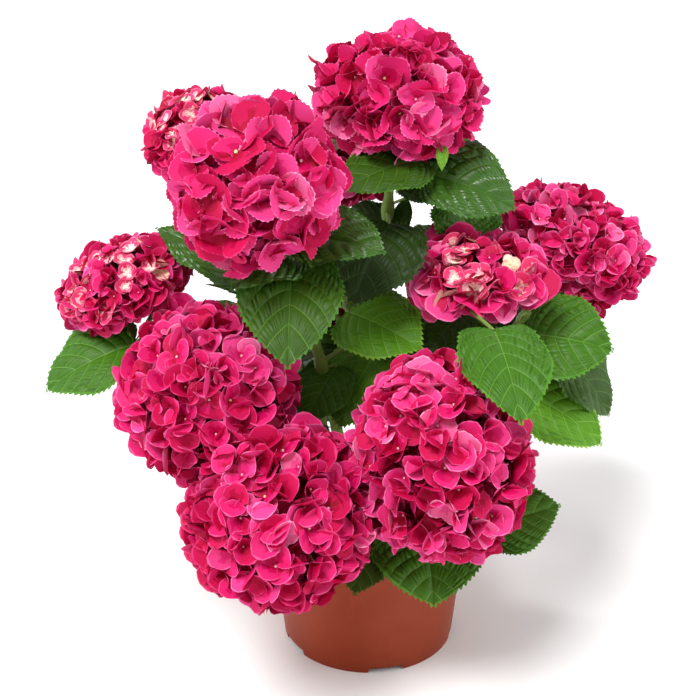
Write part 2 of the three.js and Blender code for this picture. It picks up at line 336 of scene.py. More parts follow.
class Recipe(Graph):
    """A material whose nodes end in one Principled shader."""

    MIX_SOCKETS = (0, 6, 7)  # factor, first and second colour of a colour Mix, whose names others share
    MIX_RESULT = 2

    def __init__(self, name: str, colour: str, roughness: float, specular: float = 0.5) -> None:
        """Start a material with plain values.

        Args:
            name: The material's name.
            colour: Its display colour, as hexadecimal digits.
            roughness: Its roughness.
            specular: How strongly it reflects.
        """
        self.material = bpy.data.materials.new(name)
        self.material.use_nodes = True
        super().__init__(self.material.node_tree, "Principled BSDF")
        self.put({"Base Color": linear(colour), "Roughness": roughness, "Specular IOR Level": specular})

    def place(self) -> Wire:
        """Give the point in the object's own metres."""
        return self.node("ShaderNodeTexCoord", output="Object")

    def noise(
        self,
        scale: float,
        detail: float = 3.0,
        roughness: float = 0.55,
        stretch: Sequence[float] = (1, 1, 1),
    ) -> Wire:
        """Add a noise pattern.

        Args:
            scale: Its waves to a metre.
            detail: Its octaves.
            roughness: How strong the finer octaves are.
            stretch: How the pattern is scaled along each axis.

        Returns:
            The noise, from 0 to 1.
        """
        where = self.node("ShaderNodeMapping", None, {"Vector": self.place(), "Scale": tuple(stretch)})
        values = {"Vector": where, "Scale": scale, "Detail": detail, "Roughness": roughness}
        return self.node("ShaderNodeTexNoise", None, values)

    def ramp(self, factor: Wire, stops: Sequence[tuple[float, str]]) -> Wire:
        """Turn a value into a colour by stops."""
        return self.node("ShaderNodeValToRGB", {"stops": stops}, {"Fac": factor})

    def mix(self, factor: Wire | float, first: Wire | tuple, second: Wire | tuple) -> Wire:
        """Mix two colours."""
        values = dict(zip(self.MIX_SOCKETS, (factor, first, second)))
        return self.node("ShaderNodeMix", {"data_type": "RGBA"}, values, self.MIX_RESULT)

    def bump(self, height: Wire, depth: float, strength: float = 1.0) -> None:
        """Feed the Normal from a height between 0 and 1 that stands for a depth in metres."""
        values = {"Height": height, "Distance": depth, "Strength": strength}
        self.put({"Normal": self.node("ShaderNodeBump", None, values)})


# ---------------------------------------------------------------------------------------------------------
# Finishes
# ---------------------------------------------------------------------------------------------------------


class PetalTint(Enum):
    """The tints a sepal comes in: at its foot, over the inner and outer blade, and along its rim.
    On the pink tints the foot is deeper, partly the sepal's own darker base and partly painted shade at the
    floret's middle, and the rim is lighter as a painted edge highlight; the young tints' cream feet are their
    own colour.
    """

    # Painted shade: the darkest crimson, dealt only to the florets deep inside the head.
    CORE = ("860020", "920028", "9c0632", "ae144a")
    DEEP = ("90001e", "aa0038", "c00c4c", "d23672")
    FULL = ("a80034", "c60658", "d8226c", "e6528e")
    ROSE = ("bc0e54", "d62674", "e23e86", "ee70a8")
    LIGHT = ("cc2a6c", "de4a8a", "e8669c", "f498c0")
    YOUNG = ("fff4e0", "f4b0b8", "de3c70", "f27ca0")
    CREAM = ("f0e8a8", "f8ecc4", "f6d0b8", "f09ea8")


FIRST_YOUNG = list(PetalTint).index(PetalTint.YOUNG)


class LeafTint(Enum):
    """The tints of a leaf: blade, veins, margin and hollows, how rough it is and how much it reflects.
    The hollows are darker as painted shade, and beside the leaves' own greens the tints are lit and shaded
    copies: the shade tint is painted shade, the bright and sunny tints painted light.
    """

    # Painted light and shade: these tints are partly lit and shaded copies of the same green.
    SHADE = ("22380a", "33501a", "263f10", "1d3108", 0.48, 0.22)
    MID = ("34560e", "527c2a", "3e6a18", "2c4a0c", 0.46, 0.24)
    GLOSSY = ("386018", "4c762c", "3c681e", "2e5012", 0.3, 0.42)
    BRIGHT = ("3e6e12", "62923a", "4e8620", "35600e", 0.46, 0.24)
    SUNNY = ("568c1a", "7aac3e", "78aa2e", "4a7e14", 0.46, 0.24)
    FRESH = ("6a9c2c", "86b44e", "7aaa3c", "5e9024", 0.45, 0.26)


SHADE, MID, GLOSSY, BRIGHT, SUNNY, FRESH = LeafTint


@dataclass(frozen=True)
class PetalFinish:
    """Soft matte sepals, one material for each tint and zone."""

    zones: tuple[str, ...] = ("foot", "inner", "outer", "rim")
    roughness: float = 0.6
    specular: float = 0.16

    def materials(self) -> list[bpy.types.Material]:
        """Make the materials, the zones of one tint after another."""
        return [
            Recipe(f"sepal_{tint.name.lower()}_{zone}", colour, self.roughness, self.specular).material
            for tint in PetalTint
            for zone, colour in zip(self.zones, tint.value)
        ]


@dataclass(frozen=True)
class LeafFinish:
    """Satin leaves, one material for each tint and zone."""

    # The last zone is painted shade in the hollows of the puckers.
    zones: tuple[str, ...] = ("blade", "vein", "margin", "painted_hollow_shade")

    def materials(self) -> list[bpy.types.Material]:
        """Make the materials, the zones of one tint after another."""
        return [
            Recipe(f"leaf_{tint.name.lower()}_{zone}", colour, *tint.value[len(self.zones):]).material
            for tint in LeafTint
            for zone, colour in zip(self.zones, tint.value)
        ]


@dataclass(frozen=True)
class StalkFinish:
    """Plain green, red-flushed and bead tints for stalks and flower buds."""

    tints: tuple[tuple[str, str, float], ...] = (
        ("stalk_green", "7c9a48", 0.5),
        ("stalk_flushed", "b04a50", 0.55),
        ("bud_pink", "f2c2d2", 0.45),
        ("bud_cream", "e8dca0", 0.45),
    )

    def materials(self) -> list[bpy.types.Material]:
        """Make one material for each tint."""
        return [Recipe(name, colour, roughness).material for name, colour, roughness in self.tints]


@dataclass(frozen=True)
class BarkFinish:
    """Green young bark with pale pores, turning brown and ridged near the ground."""

    green: str = "76963f"
    brown: str = "6a5034"
    pores: str = "a89a6c"
    brown_below: float = 0.15
    green_above: float = 0.23

    def material(self) -> bpy.types.Material:
        """Make the material.

        Returns:
            The material.
        """
        recipe = Recipe("bark", self.green, 0.6, 0.35)
        height = recipe.node("ShaderNodeSeparateXYZ", None, {"Vector": recipe.place()}, "Z")
        blotch = recipe.noise(60, 3)
        age = (height + (blotch - 0.5) * 0.08).step(self.brown_below, self.green_above)
        speckle = recipe.noise(420, 2, 0.6, (1, 1, 0.35)).step(0.60, 0.68)
        skin = recipe.mix(age, linear(self.brown), linear(self.green))
        recipe.put({"Base Color": recipe.mix(speckle * (0.65 - 0.5 * age), skin, linear(self.pores))})
        fibres = recipe.noise(500, 3, 0.6, (1, 1, 0.12))
        recipe.bump(fibres + speckle * 0.6, 0.0006, 0.7)
        return recipe.material


@dataclass(frozen=True)
class PotFinish:
    """Terracotta-coloured moulded plastic, satin, with a faint moulding grain and light scuffs."""

    body: str = "822f14"
    dusty: str = "964027"
    roughness: float = 0.44
    specular: float = 0.16

    def material(self) -> bpy.types.Material:
        """Make the material.

        Returns:
            The material.
        """
        recipe = Recipe("terracotta_plastic", self.body, self.roughness, self.specular)
        cloud = recipe.noise(14, 4)
        scuff = recipe.noise(160, 4, 0.6, (1, 1, 0.2)).step(0.58, 0.74)
        tone = recipe.mix(cloud.step(0.35, 0.75) * 0.5, linear(self.body), linear(self.dusty))
        recipe.put({
            "Base Color": recipe.mix(scuff * 0.25, tone, linear(self.dusty)),
            "Roughness": scuff * 0.14 + cloud * 0.1 + (self.roughness - 0.05),
        })
        recipe.bump(recipe.noise(900, 2), 0.00012, 0.6)
        return recipe.material


@dataclass(frozen=True)
class CompostFinish:
    """Dark, damp, fibrous compost."""

    dark: str = "1c120b"
    light: str = "4a3524"

    def material(self) -> bpy.types.Material:
        """Make the material.

        Returns:
            The material.
        """
        recipe = Recipe("damp_compost", self.dark, 0.95, 0.25)
        grain = recipe.noise(240, 5, 0.7)
        recipe.put({
            "Base Color": recipe.ramp(grain, ((0.38, self.dark), (0.72, self.light))),
            "Roughness": grain * 0.3 + 0.68,
        })
        recipe.bump(grain, 0.003, 0.9)
        return recipe.material


@dataclass(frozen=True)
class FloorFinish:
    """Pale seamless paper."""

    colour: str = "fafafa"

    def material(self) -> bpy.types.Material:
        """Make the material.

        Returns:
            The material.
        """
        recipe = Recipe("pale_paper", self.colour, 0.9, 0.1)
        recipe.bump(recipe.noise(30, 3), 0.0004, 0.15)
        return recipe.material


# ---------------------------------------------------------------------------------------------------------
# The plant's plan, in millimetres: its flower heads, limbs and leaves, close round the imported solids
# ---------------------------------------------------------------------------------------------------------


FINE, USUAL, COARSE = (5, 11, 4), (5, 8, 2), (4, 7, 2)  # grids of a sepal


@dataclass(frozen=True)
class HeadPlan:
    """One flower head.

    Its middle, half its width each way, its height over and depth under the middle, the way it faces, and
    then its florets: their width, how toothed their rims are, how young the head is, how far its tints are
    shifted lighter or darker as painted light and shade on the whole head, the grid of each sepal (rows,
    columns, and how many times finer its rim is), and how far the florets lean and their sepals rise, against
    the usual.
    """

    at: tuple[float, float, float]
    half: tuple[float, float]
    over: float
    under: float
    faces: tuple[float, float, float]
    floret: float = 42
    teeth: float = 0.0
    youth: float = 0.0
    # Painted light and shade: moves the whole head's tints paler where it should look lit and deeper where it
    # should look shaded.
    painted_light_shift: float = 0.0
    grid: tuple[int, int, int] = USUAL
    unrest: float = 1.0


HEADS = {
    "top": HeadPlan((23, 30, 525), (75, 73), 59, 56, (0.12, -0.1, 1), 42, 1.0, 0, 0.22, FINE),
    "upper_left": HeadPlan(
        (-92, -110, 489), (71, 70), 70, 70, (-0.3, -0.5, 0.8), 49, 1.0, 0, 0.07, FINE, 0.72,
    ),
    "high_left": HeadPlan((-154, 50, 486), (46, 44), 41, 39, (-0.25, -0.1, 1), 28, 0.3, 0.66, -0.1),
    "left": HeadPlan((-220, -10, 367), (60, 52), 38, 28, (-0.42, -0.15, 0.9), 25, 0.0, 0.55),
    "lower_left": HeadPlan((-140, -92, 301), (79, 77), 75, 64, (-0.5, -0.55, 0.68), 38, 0.3, 0, 0.10),
    "front_left": HeadPlan((-79, -169, 222), (81, 80), 78, 64, (-0.28, -0.75, 0.6), 38, 0.4, 0, -0.18),
    "front_right": HeadPlan(
        (57, -150, 263), (75, 75), 102, 93, (-0.11, -0.18, 1), 38, 0.6, 0, 0.10, (5, 9, 3),
    ),
    "right": HeadPlan((192, 60, 378), (75, 60), 47, 32, (0.46, -0.15, 0.88), 30, 0.2, 0, 0.16),
    "mid_right": HeadPlan((91, -30, 383), (61, 50), 32, 24, (0.02, -0.2, 1), 36, 0.3, 0.68, 0.28),
    "back_top": HeadPlan((-36, 142, 430), (64, 62), 54, 46, (-0.15, 0.5, 0.85), 40, 0.4, grid=COARSE),
    "back": HeadPlan((-36, 178, 285), (62, 62), 56, 46, (-0.1, 0.85, 0.5), 40, 0.4, grid=COARSE),
    "back_left": HeadPlan((-158, 128, 214), (62, 60), 56, 46, (-0.6, 0.55, 0.58), 38, 0.3, grid=COARSE),
    "back_right": HeadPlan((104, 142, 198), (59, 58), 54, 44, (0.5, 0.65, 0.58), 38, 0.3, grid=COARSE),
    "far_right": HeadPlan((200, 160, 318), (57, 56), 50, 42, (0.55, 0.55, 0.63), 36, 0.3, grid=COARSE),
}


@dataclass(frozen=True)
class LimbPlan:
    """One cane or side shoot: its flower head, where it starts, its first straight rise and its end radii."""

    head: str
    rise: float
    radii: tuple[float, float]
    foot: tuple[float, float] = (0, 0)
    parent: str = ""
    at: float = 0.0


LIMBS = {
    "cane_top": LimbPlan("top", 150, (6.5, 3.4), (8, 14)),
    "cane_upper_left": LimbPlan("upper_left", 150, (6.2, 3.4), (-16, -8)),
    "cane_high_left": LimbPlan("high_left", 120, (6, 2.8), (-24, 16)),
    "cane_lower_left": LimbPlan("lower_left", 60, (5.4, 3.4), (-34, -8)),
    "cane_front_left": LimbPlan("front_left", 55, (5.2, 3.4), (-18, -32)),
    "cane_front_right": LimbPlan("front_right", 40, (5.4, 3.4), (18, -26)),
    "cane_right": LimbPlan("right", 90, (6.2, 3), (34, 4)),
    "cane_back_top": LimbPlan("back_top", 110, (6, 3), (-4, 36)),
    "cane_back_left": LimbPlan("back_left", 40, (5, 3), (-30, 38)),
    "cane_back_right": LimbPlan("back_right", 36, (5, 3), (28, 34)),
    "shoot_left": LimbPlan("left", 45, (4, 2.8), parent="cane_high_left", at=0.32),
    "shoot_mid_right": LimbPlan("mid_right", 45, (4, 2.8), parent="cane_top", at=0.38),
    "shoot_back": LimbPlan("back", 25, (4, 3), parent="cane_back_top", at=0.3),
    "shoot_far_right": LimbPlan("far_right", 35, (4, 2.8), parent="cane_right", at=0.36),
}


@dataclass(frozen=True)
class LeafPlan:
    """One leaf: the limb and share that its stalk leaves, its blade's foot and tip, width, roll and tint.

    Then how far it bends, its fold, its relief, and how much its stalk arches, 0 being straight.
    """

    limb: str
    at: float
    foot: tuple[float, float, float]
    tip: tuple[float, float, float]
    width: float
    tint: LeafTint
    roll: float = 0.0
    bend: float = 45.0
    fold: float = 0.16
    relief: float = 1.0
    arch: float = 1.0


# Painted light and shade: each leaf's tint is picked partly by how lit or shaded it should look.
LEAVES = (
    LeafPlan("shoot_left", 0.80, (-206, -40, 322), (-288, -60, 283), 76, BRIGHT, 25, 40, 0.16, 1.5),
    LeafPlan("shoot_left", 0.80, (-210, -40, 324), (-216, -40, 352), 26, BRIGHT, 0, 20),
    LeafPlan("shoot_left", 0.72, (-176, 10, 348), (-199, 0, 326), 40, MID, 10, 30),
    LeafPlan("cane_upper_left", 0.84, (-113, -35, 377), (-191, -5, 418), 62, GLOSSY, 8, 35, 0.1, 1.5),
    LeafPlan("cane_upper_left", 0.70, (-114, -30, 362), (-147, -30, 374), 24, MID, -20, 20),
    LeafPlan("cane_upper_left", 0.86, (-66, -74, 414), (-116, -124, 404), 56, GLOSSY, 20, 50, 0.3, 1.8),
    LeafPlan("cane_upper_left", 0.87, (-58, -72, 430), (12, -112, 432), 64, GLOSSY, 26, 40, 0.2, 1.9),
    LeafPlan("cane_upper_left", 0.85, (-66, -85, 416), (-68, -172, 355), 84, MID, 0, 40, 0.14, 1.6),
    LeafPlan("cane_top", 0.72, (16, -12, 424), (-16, -72, 368), 88, SHADE, 10, 40, 0.15, 1.6, 0),
    LeafPlan("cane_top", 0.50, (-21, -25, 346), (46, -62, 324), 80, SUNNY, 25, 30, 0.1),
    LeafPlan("cane_upper_left", 0.45, (8, -34, 316), (-28, -78, 254), 84, SUNNY, 0, 30, 0.12),
    LeafPlan("cane_upper_left", 0.42, (-30, -40, 300), (-58, -80, 258), 60, BRIGHT, 0, 30, 0.12),
    LeafPlan("cane_top", 0.94, (42, 0, 478), (-30, -58, 466), 62, MID, 25, 30, 0.12, 1.2),
    LeafPlan("cane_top", 0.74, (64, 14, 453), (21, 12, 444), 36, SHADE, 50, 30, arch=0),
    LeafPlan("cane_top", 0.90, (48, 6, 463), (127, -14, 436), 72, GLOSSY, 38, 45, 0.25, 1.8),
    LeafPlan("cane_top", 0.92, (58, 30, 462), (103, 50, 472), 46, FRESH, 40, 30),
    LeafPlan("cane_top", 0.66, (25, 22, 402), (34, 46, 430), 20, MID, 0, 20, arch=0),
    LeafPlan("cane_back_top", 0.80, (19, 76, 391), (-23, 84, 403), 40, SHADE, 30, 30),
    LeafPlan("cane_top", 0.94, (60, -22, 496), (59, -36, 478), 10, FRESH, 0, 20),
    LeafPlan("shoot_mid_right", 0.85, (88, 10, 402), (72, 34, 444), 74, BRIGHT, 0, 30, 0.15, 1.6),
    LeafPlan("shoot_mid_right", 0.80, (68, 14, 390), (33, 6, 410), 44, SUNNY, 20, 30, 0.1),
    LeafPlan("shoot_mid_right", 0.75, (99, -126, 372), (114, -220, 330), 73, BRIGHT, 0, 35, 0.08, 1.9, 0),
    LeafPlan("cane_right", 0.72, (141, -20, 322), (217, -40, 314), 84, BRIGHT, 42, 40, 0.1, 1.7),
    LeafPlan("cane_right", 0.50, (137, -20, 266), (213, -40, 219), 72, SUNNY, 30, 40, 0.12, 1.6),
    LeafPlan("cane_right", 0.58, (176, 10, 292), (225, 0, 228), 78, MID, 20, 30),
    LeafPlan("cane_top", 0.46, (82, 0, 336), (46, -34, 297), 58, MID, 10, 30),
    LeafPlan("cane_front_right", 0.55, (107, -92, 167), (168, -106, 196), 62, BRIGHT, 60, 40, 0.1, 1.5),
    LeafPlan("cane_front_right", 0.45, (48, -98, 165), (54, -162, 126), 96, BRIGHT, 0, 45, 0.1, 1.8),
    LeafPlan("cane_front_left", 0.45, (10, -88, 160), (-15, -152, 131), 70, MID, 0, 45, 0.12),
)


@dataclass(frozen=True)
class SprayPlan:
    """A spray of leaves that grow by rule.

    The limb and share that it leaves, its furthest tip, its leaves' width, how much they droop, and the
    steps to the side at which they stand.
    """

    limb: str
    at: float
    tip: tuple[float, float, float]
    width: float
    droop: float = 0.0
    steps: tuple[int, ...] = (-2, -1, 0, 1, 2)


SPRAYS = (
    SprayPlan("cane_lower_left", 0.35, (-168, 4, 186), 84),
    SprayPlan("cane_high_left", 0.44, (-132, 4, 316), 76, steps=(-1, 0, 1, 2)),
    SprayPlan("cane_right", 0.62, (138, 118, 300), 80),
    SprayPlan("cane_top", 0.88, (88, 118, 446), 84),
    SprayPlan("cane_back_top", 0.80, (4, 196, 344), 84),
    SprayPlan("cane_back_top", 0.62, (-104, 124, 366), 84),
    SprayPlan("cane_high_left", 0.62, (-150, 148, 326), 90, steps=(-2, -1, 0)),
    SprayPlan("cane_high_left", 0.30, (-124, 92, 236), 88, steps=(0, 1, 2)),
    SprayPlan("cane_back_top", 0.42, (10, 158, 262), 88, 0.1),
    SprayPlan("shoot_far_right", 0.45, (150, 176, 262), 84, 0.1),
    SprayPlan("cane_right", 0.32, (92, 186, 296), 92),
    SprayPlan("shoot_back", 0.30, (-36, 178, 172), 92),
    SprayPlan("cane_back_left", 0.50, (-96, 164, 176), 84),
    SprayPlan("cane_back_right", 0.50, (186, 74, 196), 84),
)

COMPOST_TOP = 146.0


@dataclass
class LimbCurve:
    """The line of a cane or side shoot, measured along its length."""

    name: str
    arrival: float = 0.5  # how long it heads straight for its flower head, as a share of its reach
    lean: float = 0.0022  # how far it leans that way at its foot, for each millimetre of reach
    samples: int = 240
    sunk: float = 2  # how deep a cane stands in the compost

    def __post_init__(self) -> None:
        """Work out the line from the limb's foot to the middle of its flower head."""
        plan = LIMBS[self.name]
        head = HEADS[plan.head]
        end = np.array(head.at, float)
        if plan.parent:
            foot = LimbCurve(plan.parent).point(plan.at)
        else:
            foot = np.array([*plan.foot, COMPOST_TOP - self.sunk])
        reach = end - foot
        start = unit(np.array([reach[0] * self.lean, reach[1] * self.lean, 1.0]))
        arrive = unit(unit(reach) + unit(np.array(head.faces, float)))
        knots = (foot, foot + start * plan.rise, end - arrive * self.arrival * np.linalg.norm(reach), end)
        self.line = bezier(knots, np.linspace(0, 1, self.samples))
        steps = np.linalg.norm(np.diff(self.line, axis=0), axis=1)
        self.length = float(steps.sum())
        self.share = np.concatenate([[0.0], np.cumsum(steps)]) / self.length

    def point(self, at: float | Array) -> Array:
        """Give the point, in millimetres, at a share of the length."""
        return np.stack([np.interp(at, self.share, self.line[:, axis]) for axis in range(3)], axis=-1)


CURVES = {name: LimbCurve(name) for name in LIMBS}


# ---------------------------------------------------------------------------------------------------------
# Flower heads
# ---------------------------------------------------------------------------------------------------------


@dataclass
class SepalBatch:
    """Every sepal of one layer of florets: arrays with one entry to a sepal, and the form that all share."""

    places: Array
    frames: Array
    length: Array
    width: Array
    lift: Array
    curl: Array
    cup: Array
    fold: Array
    phase: Array
    raised: Array
    tint: Array
    inner: float = 0.965  # where the rim's narrow strip starts, as a share of the length
    half_fan: float = 1.45  # the angle from a sepal's middle line to its side, in radians
    fullness: tuple[float, float] = (2.6, 0.42)  # exponents of the outline: how square, how round at the side
    full_width: float = 1.38  # the width that the outline has on a length of 1
    tooth: float = 0.045  # depth of a tooth, as a share of the length
    tip: tuple[float, float] = (0.08, 0.22)  # how far its tip stands out, and how wide the tip is
    side: float = 0.97  # how far round the fan the blade reaches
    crowding: float = 1.2  # how much closer the columns stand near the sides
    arch: float = 1.6  # how high a cupped blade's sides rise
    waves: tuple[tuple[float, ...], ...] = (  # radians across, phases, radians along, growth, height
        (3.4, 1, 2.0, 2, 0.075),
        (9.0, 3, 0.0, 3, 0.026),
    )
    grain: float = 0.009  # roughness of the blade, as a share of the length
    streak: float = 0.10  # how unevenly far the tints reach, from one column to the next
    patch: float = 0.04  # and within a column
    zones_start: tuple[float, float] = (0.30, 0.68)  # where a sepal's second and third tints start, past its deeper foot that is partly painted shade
    young_start: tuple[float, float] = (0.48, 0.76)  # and where they start on a young one

    def outline(self, side: Array) -> Array:
        """Give the distance from the foot to the rim, as a share of the length, across the fan.

        Args:
            side: Places across the fan, from -1 to 1.

        Returns:
            The distance at each place.
        """
        square, soft = self.fullness
        height, width = self.tip
        return (1 - np.abs(side) ** square) ** soft * (1 + height * np.exp(-((side / width) ** 2)))

    def _surface(self, rows: Array, columns: Array, cut: Array | float = 1.0) -> Array:
        """Give points of every sepal.

        Args:
            rows: Shares of the length.
            columns: Shares of the half fan, from -1 to 1.
            cut: How much of the length the teeth leave at each column.

        Returns:
            Points of shape (sepals, rows, columns, 3), in millimetres.
        """
        s, t = rows[None, :, None], columns[None, None, :]
        out = s * self.outline(t) * cut
        angle = self.half_fan * t
        length = self.length[:, None, None]
        across = (self.width / self.full_width)[:, None, None] * out * np.sin(angle)
        along = length * out * np.cos(angle)
        phase = self.phase[:, None, None]
        wave = sum(
            high * np.sin(across_it * t + phases * phase + along_it * s) * s ** growth
            for across_it, phases, along_it, growth, high in self.waves
        )
        height = length * (
            self.curl[:, None, None] * (out * np.cos(angle)) ** 2
            + self.arch * self.cup[:, None, None] * (out * np.sin(angle)) ** 2
            + self.fold[:, None, None] * np.abs(out * np.sin(angle))
            + wave + self.raised[:, None, None]
        )
        lift = self.lift[:, None, None]
        forward = along * np.cos(lift) - height * np.sin(lift)
        up = along * np.sin(lift) + height * np.cos(lift)
        local = np.stack([across, forward, up], axis=-1)
        return np.einsum("nij,nrcj->nrci", self.frames, local) + self.places[:, None, None, :]

    def add_to(self, pile: MeshPile, rows: int, columns: int, finer: int, teeth: float) -> None:
        """Add every sepal: its blade, and a finer strip along its rim.

        Args:
            pile: Where the sepals go.
            rows: Rows of points in the blade.
            columns: Columns of points in the blade.
            finer: How many times as many columns the rim has, an even number.
            teeth: How toothed the rim is, from 0 to 1.
        """
        swing = np.linspace(-self.crowding, self.crowding, columns)
        across = self.side * np.sin(swing) / math.sin(self.crowding)
        number = np.arange(finer * (columns - 1) + 1)
        down = np.linspace(0, self.inner, rows)
        blade = self._surface(down, across)
        rng = np.random.default_rng(len(self.phase))
        grain = rng.normal(0, self.grain, blade.shape[:3]) * down[None, :, None] * self.length[:, None, None]
        blade += self.frames[:, None, None, :, 2] * grain[..., None]
        low = np.minimum(number // finer, columns - 2)
        share = (number / finer - low)[None, :, None]
        inner = blade[:, -1, low] * (1 - share) + blade[:, -1, low + 1] * share
        cut = 1 - self.tooth * teeth * (number % 2)
        sides = np.interp(number / finer, np.arange(columns), across)
        outer = self._surface(np.array([1.0]), sides, cut)[:, 0]
        # Painted highlight: the rim strip takes each tint's rim colour, lighter than the blade on the pink
        # tints.
        rim = len(PetalFinish.zones) - 1
        tint = len(PetalFinish.zones) * self.tint[:, None, None]
        young = (self.tint >= FIRST_YOUNG)[:, None, None]
        streak = rng.normal(0, self.streak, (len(self.length), 1, columns - 1))
        patch = rng.normal(0, self.patch, (len(self.length), rows - 1, columns - 1))
        reach = down[None, 1:, None] + streak + patch
        starts = zip(self.young_start, self.zones_start)
        zone = sum((reach > np.where(young, late, early)).astype(int) for late, early in starts)
        pile.add_grids(blade * MM, zone + tint)
        pile.add_grids(np.stack([inner, outer], axis=1) * MM, tint + rim)


@dataclass
class FlowerHead:
    """One mophead: florets of four or five sepals over a dome, on branching stalks."""

    plan: HeadPlan
    seed: int
    packing: float = 0.60  # spacing of florets, as a share of their width
    inner_share: float = 0.55  # how many florets the layer inside has, as a share of the outer one
    inner_depth: float = 0.80  # where that layer lies, as a share of the dome
    uneven: float = 0.10  # how unevenly far out the florets stand, as a share of the dome
    sink: float = 0.33  # how far a floret's middle lies under the dome, as a share of its width
    bud_radius: float = 0.034  # of the bead in a floret, as a share of the floret's width
    same_level: float = 1.0  # how close in height two florets press each other's sepals up
    lowest: float = -0.74  # the cosine from the head's axis down to which florets grow
    young_lean: float = 0.55  # how far the young middle of a head lies to the front of its axis
    scatter: float = 0.448  # how far florets stray from even spacing, as a share of the spacing
    area_power: float = 1.6  # the exponent in Thomsen's rule for the area of an ellipsoid
    hexagon: float = 0.87  # the area that a floret takes up, in squares of the spacing
    outer_odds: tuple[float, ...] = (0.0, 0.28, 0.50, 0.20, 0.02)  # of the tints from the darkest on
    painted_light_shift_odds: tuple[int, ...] = (0, -1, 0, 1, 0)  # painted light and shade: how a head's shift moves them between the deep and the rose tints
    inner_shade_odds: tuple[float, ...] = (0.45, 0.40, 0.15, 0.0, 0.0)  # of the tints in the layer inside, the darkest ones as painted shade deep in the head
    young_from: float = 0.2  # the cosine from the young middle at which young florets start
    young_span: float = 0.5  # and how much more it takes until they are commonest
    cream_share: float = 0.2  # the share of them that are the youngest
    outer_sizes: tuple[float, float] = (0.86, 1.14)
    inner_sizes: tuple[float, float] = (0.8, 1.0)
    youth_sizes: tuple[float, float, float] = (1.32, 0.85, 0.1)  # at a young head's side, fall, and its start
    cream_size: float = 0.72  # the size of the youngest florets
    outer_lean: float = 0.34  # how far florets lean
    inner_lean: float = 0.45
    most_lean: float = 0.7
    golden: float = 0.618  # takes the florets through all depths
    five_share: float = 0.12  # the share of florets with five sepals
    bearing_spread: float = 0.10
    lengths: tuple[float, float] = (0.86, 1.14)  # of the sepals in one floret
    breadths: tuple[float, float] = (1.12, 1.36)  # the width of a sepal, as a share of its length
    floret_opening: tuple[float, float] = (0.02, 0.18)  # mean and spread of a floret's rise, in radians
    sepal_opening: tuple[float, float] = (0.19, 0.4)  # spread of one sepal's rise, and its limit
    young_rise: float = 0.6  # how far young sepals rise, against the usual
    curl: tuple[float, float] = (-0.04, 0.10)  # mean and spread of how a sepal's tip curls
    cup: tuple[float, float] = (0.10, 0.10)  # of how its sides rise
    fold: tuple[float, float] = (0.04, 0.06)  # of its fold along the middle
    pressed_curl: float = 0.10  # how much more a sepal curls where it stands against another
    stacked: float = 0.05  # how far every other sepal lies above its neighbours
    standing: tuple[float, float] = (0.76, 0.98)  # cosines between which a sepal stands up against another
    lying_over: float = 0.10  # rise of a sepal that lies over another
    lying_under: float = 0.02  # and of one under another
    inner_grid: tuple[int, int, int] = (3, 6, 2)
    bead_grid: tuple[int, int] = (3, 5)
    bead_rise: float = 1.1  # how far a bead's middle stands over the floret's, in radii
    bead_span: tuple[float, float] = (0.12, 0.62 * math.pi)  # the part of a ball that shows
    cream_beads: tuple[float, float] = (0.15, 0.6)  # odds of a cream bead, and how much youth adds
    fork_depth: float = 0.62  # where the stalks part, as a share of the head's depth
    stalk_bend: tuple[float, float] = (0.4, 0.75)  # where a stalk is bent, as shares of its reach
    stalk_sag: float = 0.12  # how far it first rises, as a share of the head's depth
    stalk_shares: tuple[float, float, float] = (0, 0.45, 1)
    stalk_radii: tuple[float, float, float] = (1.5, 1.1, 0.6)
    stalk_odds: tuple[float, float] = (0.45, 0.55)  # of green and of flushed stalks

    def __post_init__(self) -> None:
        """Seed the randomness, and work out how the head stands."""
        self.random = np.random.default_rng(self.seed)
        self.turn = turn_to(self.plan.faces)
        self.centre = np.array(self.plan.at, float)
        self.young = unit(np.array([0, 0, 1.0]) - self.young_lean * self.turn[1])

    def _directions(self, count: int) -> Array:
        """Spread directions evenly over the dome, with some scatter.

        Args:
            count: How many.

        Returns:
            Directions in the head's own frame.
        """
        step = np.arange(count) + 0.5
        z = 1 - (1 - self.lowest) * step / count
        angle = step * math.pi * (3 - math.sqrt(5)) + self.random.uniform(0, 2 * math.pi)
        flat = np.sqrt(1 - z ** 2)
        spread = np.stack([flat * np.cos(angle), flat * np.sin(angle), z], axis=-1)
        return unit(spread + self.random.normal(0, self.scatter / math.sqrt(count), (count, 3)))

    def _surface(self, directions: Array) -> tuple[Array, Array]:
        """Find the dome's surface.

        Args:
            directions: Where to, in the head's own frame.

        Returns:
            Points from the head's middle, and normals.
        """
        height = np.where(directions[:, 2:] > 0, self.plan.over, self.plan.under)
        radii = np.hstack([np.tile(self.plan.half, (len(directions), 1)), height])
        return directions * radii, unit(directions / radii)

    def _count(self) -> int:
        """Work out how many florets cover the dome.

        Returns:
            The number of florets.
        """
        a, b = self.plan.half
        c = (self.plan.over + self.plan.under) / 2
        power = self.area_power
        mean = ((a * b) ** power + (a * c) ** power + (b * c) ** power) / 3
        area = 4 * math.pi * mean ** (1 / power) * (1 - self.lowest) / 2
        spacing = self.plan.floret * self.packing
        return int(area / (spacing ** 2 * self.hexagon))

    def _tints(self, directions: Array, inner: bool) -> Array:
        """Deal a tint to each floret.

        Args:
            directions: Where the florets stand, in the head's own frame.
            inner: True for the layer inside.

        Returns:
            The tints' numbers.
        """
        tints = list(PetalTint)
        count = len(directions)
        # Painted light and shade: the head's shift moves the odds between the deep and the rose tints.
        painted_light_shift = np.array(self.outer_odds) + self.plan.painted_light_shift * np.array(self.painted_light_shift_odds)
